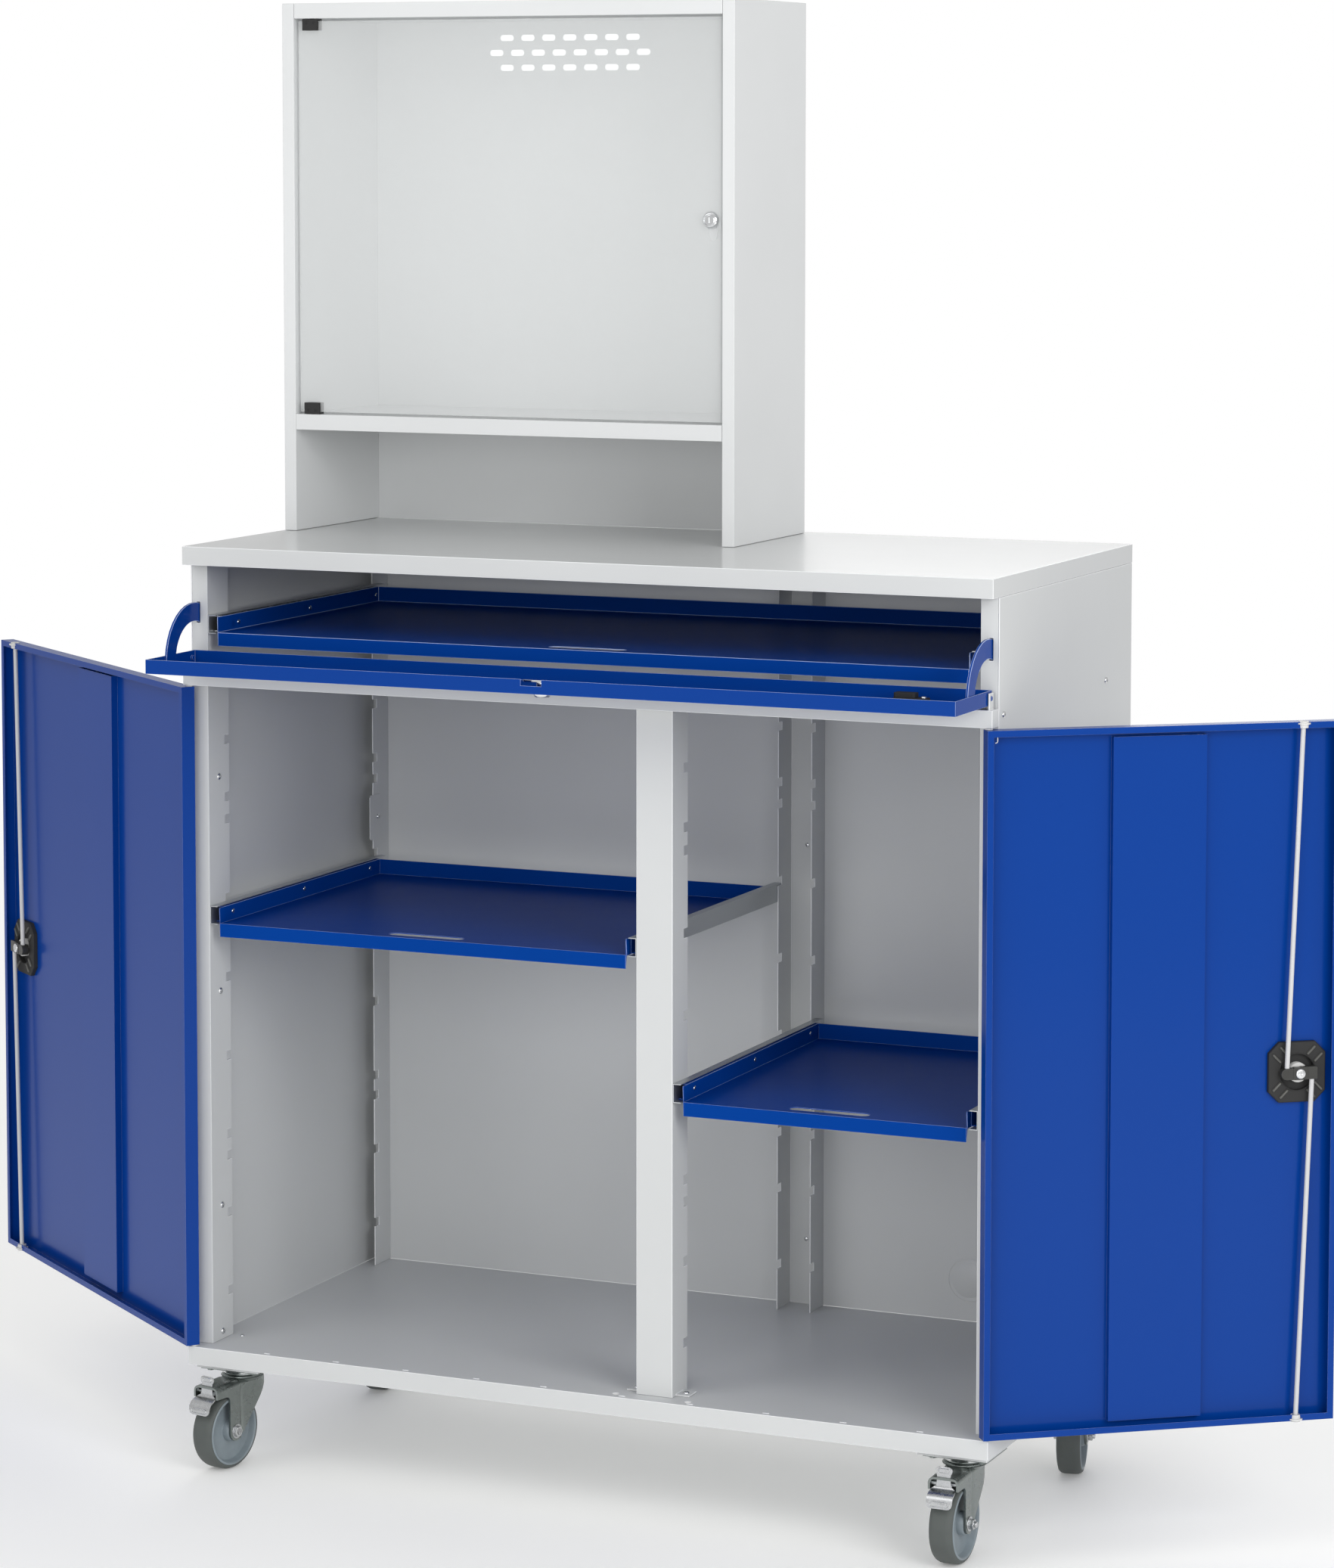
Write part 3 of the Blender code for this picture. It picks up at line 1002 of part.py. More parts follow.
def build_pedal(name, axis, fork, pin_half):
    """Brake lever in the fork's nose: pin, foot tab bent forward and down, release tab bent up."""
    level = CROWN_TOP - FORK_LEG_TOP - PEDAL_PIVOT_DROP
    pedal_axis = frame_empty(name + "_pedal_axis", axis, (0, -PEDAL_PIVOT_FRONT, level))
    front = -FORK_NOSE_PLATE_END + PEDAL_PIVOT_FRONT - PEDAL_SHEET
    block_half = RELEASE_WIDTH / 2
    block = box((-block_half, front - FUSE, -PEDAL_BLOCK / 2), (block_half, PEDAL_BLOCK / 2, PEDAL_BLOCK / 2))
    pedal = part(name + "_pedal", block, ZINC, pedal_axis)
    bend = front - PEDAL_SHEET
    foot = [(bend, 0), (bend, -PEDAL_BLOCK / 2), (bend - PEDAL_REACH / 2, -PEDAL_FALL),
            (bend - PEDAL_REACH * 0.75, -PEDAL_FALL - PEDAL_LIP)]
    half = PEDAL_WIDTH / 2
    foot_tab = tool(name + "_foot_tab", folded_sheet(foot, -half, half, "X", "-y"), pedal_axis)
    combine(pedal, "UNION", thicken(foot_tab, PEDAL_SHEET))
    release = box((-block_half, bend, -PEDAL_BLOCK / 4), (block_half, bend + PEDAL_SHEET, RELEASE_HEIGHT))
    combine(pedal, "UNION", tool(name + "_release_tab", release, pedal_axis))
    pin = rod((-pin_half, 0, 0), "X", 2 * pin_half, PEDAL_PIN_RADIUS, 16)
    combine(pedal, "UNION", tool(name + "_pedal_pin", pin, pedal_axis))
    bore = rod((-2 * pin_half, 0, 0), "X", 4 * pin_half, PEDAL_PIN_RADIUS + PIN_CLEARANCE, 16)
    combine(fork, "DIFFERENCE", tool(name + "_pedal_bore", bore, pedal_axis))


def build_casters():
    """Four swivel casters under the bearers, the front two with brakes."""
    side = HALF - CASTER_EDGE
    rear = DEPTH - CASTER_REAR
    build_caster("front_left_caster", -side, CASTER_FRONT, FRONT_LEFT_SWIVEL, True)
    build_caster("front_right_caster", side, CASTER_FRONT, FRONT_RIGHT_SWIVEL, True)
    build_caster("rear_left_caster", -side, rear, REAR_LEFT_SWIVEL, False)
    build_caster("rear_right_caster", side, rear, REAR_RIGHT_SWIVEL, False)


build_base()
build_worktop()
build_panels()
build_posts()
build_divider()
build_rail()
build_housing()
build_pane()
build_pullouts()
build_flap()
build_door("left_door", 1, LEFT_DOOR_WIDTH, LEFT_DOOR_OPEN)
build_door("right_door", -1, RIGHT_DOOR_WIDTH, RIGHT_DOOR_OPEN)
build_casters()
bpy.context.view_layer.update()
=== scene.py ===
"""Looks of a mobile computer cabinet in folded sheet steel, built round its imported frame."""

import json
import logging
import math
from dataclasses import dataclass
from enum import Enum
from typing import Any, Iterable, Optional, Sequence, Union

import bmesh
import bpy
from mathutils import Matrix, Vector


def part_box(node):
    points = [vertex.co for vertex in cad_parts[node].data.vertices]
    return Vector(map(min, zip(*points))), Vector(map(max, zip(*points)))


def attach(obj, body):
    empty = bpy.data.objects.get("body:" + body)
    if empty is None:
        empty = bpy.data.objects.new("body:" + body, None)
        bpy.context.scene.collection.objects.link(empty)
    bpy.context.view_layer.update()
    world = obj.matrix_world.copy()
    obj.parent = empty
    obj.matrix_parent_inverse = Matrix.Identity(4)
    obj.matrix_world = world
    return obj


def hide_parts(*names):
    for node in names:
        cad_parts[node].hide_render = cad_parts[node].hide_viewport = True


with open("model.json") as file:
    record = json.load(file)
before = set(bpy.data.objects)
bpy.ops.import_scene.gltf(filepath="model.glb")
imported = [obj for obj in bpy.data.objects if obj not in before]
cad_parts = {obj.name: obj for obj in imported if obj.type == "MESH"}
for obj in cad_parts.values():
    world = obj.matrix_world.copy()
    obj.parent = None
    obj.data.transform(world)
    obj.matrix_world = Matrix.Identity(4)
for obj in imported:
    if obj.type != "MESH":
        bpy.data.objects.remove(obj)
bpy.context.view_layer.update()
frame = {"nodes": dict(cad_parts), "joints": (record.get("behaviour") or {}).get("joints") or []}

SHARP_ANGLE = math.radians(38)
WELD_DISTANCE = 0.00001
UP = Vector((0, 0, 1))
NODES = frame["nodes"]
JOINTS = {joint["name"]: joint for joint in frame["joints"]}

Point = Sequence[float]
Pair = tuple[float, float]
Triple = tuple[float, float, float]
Outline = Sequence[Pair]
Profile = Sequence[Pair]
TurnedForms = Sequence[tuple[int, Profile]]
Colour = Triple
Box = tuple[Vector, Vector]
Tree = bpy.types.NodeTree
Node = bpy.types.Node
Socket = bpy.types.NodeSocket
Value = Union[float, Socket]
Vert = bmesh.types.BMVert

log = logging.getLogger("cabinet")


class Slot(Enum):
    """The record's material slots."""

    GREY = "grey_paint"
    BLUE = "blue_paint"
    ZINC = "zinc_plate"
    BLACK = "black_plastic"
    ROD = "rod_coat"
    RUBBER = "caster_rubber"
    PANE = "clear_pane"


class Side(Enum):
    """Side of the cabinet as seen from the front, and its sign along X."""

    LEFT = -1
    RIGHT = 1

    @property
    def word(self) -> str:
        """Name of the side in piece names."""
        return self.name.lower()

    def outer(self, box: Box) -> float:
        """Place along X of the box's face on this side."""
        return box[1].x if self is Side.RIGHT else box[0].x

    def inner(self, box: Box) -> float:
        """Place along X of the box's face towards the cabinet's middle."""
        return box[0].x if self is Side.RIGHT else box[1].x


# Node groups


def add_node(tree: Tree, kind: str, inputs: dict[Any, Any], **settings: Any) -> Node:
    """Add a node, set it up and feed its inputs.

    Args:
        tree: node tree of a material or group.
        kind: Blender's name of the node type.
        inputs: input name or index to a value, or to the socket that feeds it.
        settings: properties of the node.

    Returns:
        The new node.
    """
    node = tree.nodes.new(kind)
    for name, value in settings.items():
        setattr(node, name, value)
    for name, value in inputs.items():
        if isinstance(value, Socket):
            tree.links.new(value, node.inputs[name])
        else:
            node.inputs[name].default_value = value
    return node


def spread(tree: Tree, value: Socket, source: Pair, target: tuple[Value, Value]) -> Socket:
    """Map a value from one range onto another, held at both ends.

    Args:
        tree: node tree that gets the node.
        value: socket that gives the value.
        source: low and high end of the value.
        target: low and high end of the result, as numbers or sockets.

    Returns:
        The socket with the mapped value.
    """
    inputs = {"Value": value, "From Min": source[0], "From Max": source[1], "To Min": target[0],
              "To Max": target[1]}
    return add_node(tree, "ShaderNodeMapRange", inputs).outputs["Result"]


def noise(tree: Tree, vector: Socket, scale: Value, detail: float) -> Socket:
    """Add a noise texture and return its value."""
    inputs = {"Vector": vector, "Scale": scale, "Detail": detail}
    return add_node(tree, "ShaderNodeTexNoise", inputs).outputs["Fac"]


def calculate(tree: Tree, operation: str, first: Value, second: Value) -> Socket:
    """Add a Math node of two values and return its result."""
    return add_node(tree, "ShaderNodeMath", {0: first, 1: second}, operation=operation).outputs[0]


class SurfaceGroup:
    """A shader node group whose outputs change over the surface."""

    def __init__(self, name: str, inputs: dict[str, tuple[str, Any]], outputs: dict[str, str]) -> None:
        """Make the group and its sockets.

        Args:
            name: name of the group.
            inputs: input name to socket type and default.
            outputs: output name to socket type.
        """
        self.tree = bpy.data.node_groups.new(name, "ShaderNodeTree")
        sockets = self.tree.interface
        for socket_name, (kind, default) in inputs.items():
            socket = sockets.new_socket(socket_name, in_out="INPUT", socket_type="NodeSocket" + kind)
            if default is not None:
                socket.default_value = default
        for socket_name, kind in outputs.items():
            sockets.new_socket(socket_name, in_out="OUTPUT", socket_type="NodeSocket" + kind)
        self.given = self.tree.nodes.new("NodeGroupInput").outputs
        self.result = self.tree.nodes.new("NodeGroupOutput").inputs

    def put_out(self, name: str, source: Socket) -> None:
        """Join a socket to one of the group's outputs."""
        self.tree.links.new(source, self.result[name])

    def place(self, tree: Tree, **inputs: Any) -> Node:
        """Place the group in a material and feed its inputs by name."""
        return add_node(tree, "ShaderNodeGroup", inputs, node_tree=self.tree)


class SkinGroup(SurfaceGroup):
    """A surface group that gives colour, roughness and height."""

    def __init__(self, name: str, tone: float, roughness: float, more: dict[str, float]) -> None:
        """Make the group with the sockets that every skin has.

        Args:
            name: name of the group.
            tone: grey of the colour, where a material gives none.
            roughness: roughness, where a material gives none.
            more: the skin's own inputs and their defaults.
        """
        inputs = {"Vector": ("Vector", None), "Colour": ("Color", (tone, tone, tone, 1)),
                  "Roughness": ("Float", roughness)}
        for socket_name, default in more.items():
            inputs[socket_name] = ("Float", default)
        super().__init__(name, inputs, {"Colour": "Color", "Roughness": "Float", "Height": "Float"})

    def tint(self, pattern: Socket, ends: Pair, swing: str) -> None:
        """Put out the given colour, darker and lighter with a pattern.

        Args:
            pattern: socket that gives the pattern.
            ends: low and high end of the pattern.
            swing: name of the input that says how far the tone swings either way.
        """
        low = calculate(self.tree, "SUBTRACT", 1.0, self.given[swing])
        high = calculate(self.tree, "ADD", 1.0, self.given[swing])
        tone = spread(self.tree, pattern, ends, (low, high))
        inputs = {0: self.given["Colour"], "Scale": tone}
        tinted = add_node(self.tree, "ShaderNodeVectorMath", inputs, operation="SCALE")
        self.put_out("Colour", tinted.outputs[0])

    def vary_gloss(self, pattern: Socket, ends: Pair, change: Pair) -> None:
        """Put out the given roughness, with what a pattern adds to it from its low to its high end."""
        shift = spread(self.tree, pattern, ends, change)
        self.put_out("Roughness", calculate(self.tree, "ADD", self.given["Roughness"], shift))


def make_powder_skin() -> SkinGroup:
    """Powder coat: slow drift of tone, patches of gloss and a fine orange peel.

    Returns:
        The group.
    """
    skin = SkinGroup("powder_skin", 0.6, 0.4, {"Mottle": 0.03, "Peel Scale": 620.0})
    tree, place = skin.tree, skin.given["Vector"]
    skin.tint(noise(tree, place, 4.0, 4.0), (0.3, 0.7), "Mottle")
    skin.vary_gloss(noise(tree, place, 26.0, 3.0), (0.2, 0.8), (-0.006, 0.008))
    skin.put_out("Height", noise(tree, place, skin.given["Peel Scale"], 1.5))
    return skin


def make_settled_dust() -> SurfaceGroup:
    """Thin dust on faces that look up, in soft patches.

    Returns:
        The group.
    """
    inputs = {"Vector": ("Vector", None), "Normal": ("Vector", None), "Amount": ("Float", 0.1)}
    group = SurfaceGroup("settled_dust", inputs, {"Mask": "Float"})
    tree, given = group.tree, group.given
    split = add_node(tree, "ShaderNodeSeparateXYZ", {0: given["Normal"]})
    upward = spread(tree, split.outputs["Z"], (0.5, 0.98), (0.0, 1.0))
    patch = spread(tree, noise(tree, given["Vector"], 11.0, 6.0), (0.32, 0.72), (0.2, 1.0))
    lying = calculate(tree, "MULTIPLY", upward, patch)
    group.put_out("Mask", calculate(tree, "MULTIPLY", lying, given["Amount"]))
    return group


def make_zinc_spangle() -> SkinGroup:
    """Zinc plating: crystal patches that differ in tone and gloss, with fine drawing marks.

    Returns:
        The group.
    """
    skin = SkinGroup("zinc_spangle", 0.6, 0.35, {"Contrast": 0.1, "Scale": 320.0})
    tree, place = skin.tree, skin.given["Vector"]
    crystal = add_node(tree, "ShaderNodeTexVoronoi", {"Vector": place, "Scale": skin.given["Scale"]})
    shade = add_node(tree, "ShaderNodeSeparateColor", {0: crystal.outputs["Color"]}).outputs["Red"]
    cloud = noise(tree, place, 60.0, 3.0)
    mixed = calculate(tree, "MULTIPLY", calculate(tree, "ADD", shade, cloud), 0.5)
    skin.tint(mixed, (0.2, 0.8), "Contrast")
    skin.vary_gloss(mixed, (0.2, 0.8), (-0.04, 0.05))
    skin.put_out("Height", noise(tree, place, 1400.0, 2.0))
    return skin


def make_mould_grain() -> SkinGroup:
    """Moulded plastic or rubber: spark grain, faint flow marks and worn tone.

    Returns:
        The group.
    """
    skin = SkinGroup("mould_grain", 0.1, 0.5, {"Grain Scale": 1500.0, "Drift": 0.12})
    tree, place = skin.tree, skin.given["Vector"]
    flow = noise(tree, place, 45.0, 4.0)
    skin.tint(flow, (0.3, 0.7), "Drift")
    skin.vary_gloss(flow, (0.3, 0.7), (-0.05, 0.07))
    skin.put_out("Height", noise(tree, place, skin.given["Grain Scale"], 2.0))
    return skin


def make_cut_edge() -> SurfaceGroup:
    """Mask of a flat pane's narrow edges, told from its faces by the normal along Y.

    Returns:
        The group.
    """
    group = SurfaceGroup("cut_edge", {"Normal": ("Vector", None)}, {"Mask": "Float"})
    split = add_node(group.tree, "ShaderNodeSeparateXYZ", {0: group.given["Normal"]})
    across = add_node(group.tree, "ShaderNodeMath", {0: split.outputs["Y"]}, operation="ABSOLUTE")
    group.put_out("Mask", spread(group.tree, across.outputs[0], (0.35, 0.75), (1.0, 0.0)))
    return group


def make_floor_fade() -> SurfaceGroup:
    """Alpha of the studio floor: whole near the cabinet, gone further out.

    Returns:
        The group.
    """
    group = SurfaceGroup("floor_fade", {"Vector": ("Vector", None)}, {"Alpha": "Float"})
    reach = add_node(group.tree, "ShaderNodeVectorMath", {0: group.given["Vector"]}, operation="LENGTH")
    group.put_out("Alpha", spread(group.tree, reach.outputs["Value"], (2.4, 7.0), (1.0, 0.0)))
    return group


POWDER_SKIN = make_powder_skin()
SETTLED_DUST = make_settled_dust()
ZINC_SPANGLE = make_zinc_spangle()
MOULD_GRAIN = make_mould_grain()
CUT_EDGE = make_cut_edge()
FLOOR_FADE = make_floor_fade()


# Finishes


def start_material(name: str) -> tuple[bpy.types.Material, Tree, Node, Socket]:
    """Make an empty surface material.

    Args:
        name: name of the material.

    Returns:
        The material, its tree, its Principled shader and its object coordinates.
    """
    material = bpy.data.materials.new(name)
    material.use_nodes = True
    tree = material.node_tree
    shader = tree.nodes["Principled BSDF"]
    place = tree.nodes.new("ShaderNodeTexCoord").outputs["Object"]
    return material, tree, shader, place


def feed_shader(tree: Tree, shader: Node, skin: Node, bump: float, depth: float) -> None:
    """Join a skin group's outputs to the shader.

    Args:
        tree: node tree of the material.
        shader: its Principled shader.
        skin: placed group with Colour, Roughness and Height.
        bump: strength of the bump.
        depth: height of the bump in metres.
    """
    tree.links.new(skin.outputs["Colour"], shader.inputs["Base Color"])
    tree.links.new(skin.outputs["Roughness"], shader.inputs["Roughness"])
    inputs = {"Strength": bump, "Distance": depth, "Height": skin.outputs["Height"]}
    relief = add_node(tree, "ShaderNodeBump", inputs)
    tree.links.new(relief.outputs["Normal"], shader.inputs["Normal"])


@dataclass(frozen=True)
class Finish:
    """What a piece is coated with or made from, and the record's slot for it."""

    name: str
    slot: Slot

    def material(self) -> bpy.types.Material:
        """Give the finish's material, made on first use.

        Returns:
            The material.
        """
        if self.name in bpy.data.materials:
            return bpy.data.materials[self.name]
        return self.make()

    def make(self) -> bpy.types.Material:
        """Make the material, as each kind of finish does in its own way."""
        raise NotImplementedError


@dataclass(frozen=True)
class PowderCoat(Finish):
    """Sprayed and baked powder coat on sheet steel."""

    colour: Colour
    roughness: float
    sheen: float = 0.5
    lacquer: float = 0.0
    lacquer_roughness: float = 0.10
    mottle: float = 0.02
    peel: float = 0.06
    peel_depth: float = 0.0002
    dust: float = 0.05
    dust_colour: Colour = (0.62, 0.61, 0.58)

    def make(self) -> bpy.types.Material:
        """Make the coat with dust on top.

        Returns:
            The material.
        """
        material, tree, shader, place = start_material(self.name)
        skin = POWDER_SKIN.place(tree, Vector=place, Colour=(*self.colour, 1), Roughness=self.roughness,
                                 Mottle=self.mottle)
        feed_shader(tree, shader, skin, self.peel, self.peel_depth)
        shader.inputs["Specular IOR Level"].default_value = self.sheen
        shader.inputs["Coat Weight"].default_value = self.lacquer
        shader.inputs["Coat Roughness"].default_value = self.lacquer_roughness
        normal = tree.nodes.new("ShaderNodeNewGeometry").outputs["Normal"]
        dust = SETTLED_DUST.place(tree, Vector=place, Normal=normal, Amount=self.dust).outputs["Mask"]
        inputs = {"Fac": dust, "Color1": skin.outputs["Colour"], "Color2": (*self.dust_colour, 1)}
        dusty = add_node(tree, "ShaderNodeMixRGB", inputs)
        tree.links.new(dusty.outputs["Color"], shader.inputs["Base Color"])
        return material


@dataclass(frozen=True)
class PlatedMetal(Finish):
    """Zinc or chrome plating."""

    colour: Colour
    roughness: float
    contrast: float
    grain: float = 0.03
    grain_depth: float = 0.0002

    def make(self) -> bpy.types.Material:
        """Make the plating.

        Returns:
            The material.
        """
        material, tree, shader, place = start_material(self.name)
        shader.inputs["Metallic"].default_value = 1.0
        skin = ZINC_SPANGLE.place(tree, Vector=place, Colour=(*self.colour, 1), Roughness=self.roughness,
                                  Contrast=self.contrast)
        feed_shader(tree, shader, skin, self.grain, self.grain_depth)
        return material


@dataclass(frozen=True)
class Moulding(Finish):
    """Moulded plastic or rubber."""

    colour: Colour
    roughness: float
    grain: float = 0.15
    grain_depth: float = 0.0003
    drift: float = 0.1

    def make(self) -> bpy.types.Material:
        """Make the moulded surface.

        Returns:
            The material.
        """
        material, tree, shader, place = start_material(self.name)
        skin = MOULD_GRAIN.place(tree, Vector=place, Colour=(*self.colour, 1), Roughness=self.roughness,
                                 Drift=self.drift)
        feed_shader(tree, shader, skin, self.grain, self.grain_depth)
        return material


@dataclass(frozen=True)
class ClearSheet(Finish):
    """Clear pane: nearly invisible faces, brighter sawn edges."""

    colour: Colour = (0.88, 0.95, 0.93)
    roughness: float = 0.06
    drift: float = 0.02
    sheen: float = 0.9
    face_alpha: float = 0.07
    edge_alpha: float = 0.60

    def make(self) -> bpy.types.Material:
        """Make the clear faces and the edges.

        Returns:
            The material.
        """
        material, tree, shader, place = start_material(self.name)
        normal = tree.nodes.new("ShaderNodeNewGeometry").outputs["Normal"]
        edge = CUT_EDGE.place(tree, Normal=normal).outputs["Mask"]
        skin = MOULD_GRAIN.place(tree, Vector=place, Colour=(*self.colour, 1), Roughness=self.roughness,
                                 Drift=self.drift)
        tree.links.new(skin.outputs["Colour"], shader.inputs["Base Color"])
        tree.links.new(skin.outputs["Roughness"], shader.inputs["Roughness"])
        alpha = spread(tree, edge, (0, 1), (self.face_alpha, self.edge_alpha))
        tree.links.new(alpha, shader.inputs["Alpha"])
        shader.inputs["Specular IOR Level"].default_value = self.sheen
        return material


GREY = PowderCoat("light_grey_powder", Slot.GREY, (0.588, 0.600, 0.602), 0.40)
TOP_GREY = PowderCoat("worktop_grey_powder", Slot.GREY, (0.588, 0.600, 0.602), 0.40, lacquer=0.55, peel=0.02)
# Painted light: the carcass's same grey paint made paler on the screen housing, standing in for the brighter
# light that falls on it.
LIT_GREY = PowderCoat("pale_grey_powder", Slot.GREY, (0.700, 0.712, 0.716), 0.38)
# Painted highlight: a paler grey on the carcass's rounded fold edges and on the base floor's pressed bars,
# standing in for light caught there.
GREY_HIGHLIGHT = PowderCoat("light_grey_fold", Slot.GREY, (0.80, 0.81, 0.82), 0.25, lacquer=0.5, dust=0.0)
BLUE = PowderCoat("gentian_blue_powder", Slot.BLUE, (0.0006, 0.041, 0.262), 0.26, sheen=0.10, lacquer=0.14,
                  mottle=0.008, peel=0.02, dust=0.0)
TRAY_BLUE = PowderCoat("tray_blue_powder", Slot.BLUE, (0.0006, 0.043, 0.270), 0.34, sheen=0.03, peel=0.02,
                       dust=0.0)
# Painted highlight: a pale blue on the rounded fold edges, standing in for light caught on the folds; its
# glossy coat also reflects for real.
BLUE_HIGHLIGHT = PowderCoat("gentian_blue_fold", Slot.BLUE, (0.300, 0.400, 0.700), 0.16, sheen=1.0, lacquer=1.0,
                       peel=0.0, dust=0.0)
ZINC = PlatedMetal("zinc_plate", Slot.ZINC, (0.52, 0.54, 0.545), 0.34, 0.10)
FORK_ZINC = PlatedMetal("fork_zinc", Slot.ZINC, (0.255, 0.280, 0.270), 0.30, 0.05)
PRESSED_ZINC = PlatedMetal("pressed_zinc", Slot.ZINC, (0.56, 0.57, 0.58), 0.26, 0.05)
BRIGHT_ZINC = PlatedMetal("bright_zinc", Slot.ZINC, (0.72, 0.73, 0.74), 0.24, 0.05)
CHROME = PlatedMetal("lock_chrome", Slot.ZINC, (0.80, 0.81, 0.82), 0.12, 0.03)
BLACK = Moulding("black_plastic", Slot.BLACK, (0.015, 0.015, 0.0135), 0.42)
WORN_BLACK = Moulding("worn_black_plastic", Slot.BLACK, (0.030, 0.030, 0.027), 0.34)
# Painted highlight: a paler black for the lock case's ribs, standing in for gloss on them catching the
# light.
RIB_HIGHLIGHT_BLACK = Moulding("rubbed_black_plastic", Slot.BLACK, (0.085, 0.085, 0.078), 0.28)
NYLON = Moulding("white_nylon", Slot.ROD, (0.62, 0.62, 0.61), 0.42, drift=0.03)
ROD_COAT = PowderCoat("white_rod_coat", Slot.ROD, (0.56, 0.56, 0.565), 0.36, dust=0.0)
TYRE = Moulding("tyre_rubber", Slot.RUBBER, (0.078, 0.088, 0.084), 0.60, grain=0.2)
RIM = Moulding("rim_plastic", Slot.RUBBER, (0.205, 0.245, 0.270), 0.40)
CLEAR = ClearSheet("clear_pane", Slot.PANE)


# Mesh building


def with_axes(x: Vector, y: Vector, z: Vector, origin: Point) -> Matrix:
    """Frame at a point, given its three axes.

    Args:
        x: direction of the X axis.
        y: direction of the Y axis.
        z: direction of the Z axis.
        origin: point in the row frame.

    Returns:
        The frame as a matrix.
    """
    matrix = Matrix((x, y, z)).transposed().to_4x4()
    matrix.translation = Vector(origin)
    return matrix


def facing(origin: Point, normal: Point, up: Point = (0, 0, 1)) -> Matrix:
    """Frame at a point whose Z axis runs along a normal.

    Args:
        origin: point in the row frame.
        normal: direction of the frame's Z axis.
        up: direction that its Y axis leans to.

    Returns:
        The frame as a matrix.
    """
    z = Vector(normal).normalized()
    lean = Vector(up)
    if abs(z.dot(lean.normalized())) > 0.99:
        lean = Vector((0, 1, 0))
    x = lean.cross(z).normalized()
    return with_axes(x, z.cross(x), z, origin)


def circle(radius: float, height: float, steps: int) -> list[Point]:
    """Points of a circle about Z at a height."""
    turn = 2 * math.pi / steps
    return [(radius * math.cos(i * turn), radius * math.sin(i * turn), height) for i in range(steps)]


def stadium(length: float, width: float, steps: int = 8) -> list[Pair]:
    """Outline of a bar with round ends along X.

    Args:
        length: length over the round ends.
        width: width of the bar.
        steps: number of sides of each round end.

    Returns:
        The outline's points.
    """
    radius, reach = width / 2, (length - width) / 2
    outline = []
    for start, shift in ((-math.pi / 2, reach), (math.pi / 2, -reach)):
        for i in range(steps + 1):
            angle = start + math.pi * i / steps
            outline.append((shift + radius * math.cos(angle), radius * math.sin(angle)))
    return outline


def chamfered(half_x: float, half_y: float, cut: float) -> list[Pair]:
    """Outline of a rectangle with its four corners cut off.

    Args:
        half_x: half its length along X.
        half_y: half its length along Y.
        cut: what each corner loses along either side.

    Returns:
        The outline's points.
    """
    x, y = half_x - cut, half_y - cut
    return [(half_x, -y), (half_x, y), (x, half_y), (-x, half_y),
            (-half_x, y), (-half_x, -y), (-x, -half_y), (x, -half_y)]


def cross(reach: float, half: float) -> list[Pair]:
    """Outline of a cross recess.

    Args:
        reach: length of each arm from the middle.
        half: half the width of an arm.

    Returns:
        The outline's points.
    """
    quarter = [(reach, -half), (reach, half), (half, half)]
    outline = []
    for turn in range(4):
        c, s = round(math.cos(turn * math.pi / 2)), round(math.sin(turn * math.pi / 2))
        outline += [(c * x - s * y, s * x + c * y) for x, y in quarter]
    return outline


def both_faces(half: Profile) -> list[Pair]:
    """Profile of a wheel's part, from one face round to its mirror image on the other."""
    return [*half, *((radius, -height) for radius, height in reversed(half))]


def add_object(name: str, data: bpy.types.ID) -> bpy.types.Object:
    """Put a mesh, light or camera into the scene.

    Args:
        name: name of the object.
        data: what it shows.

    Returns:
        The new object.
    """
    item = bpy.data.objects.new(name, data)
    bpy.context.scene.collection.objects.link(item)
    return item


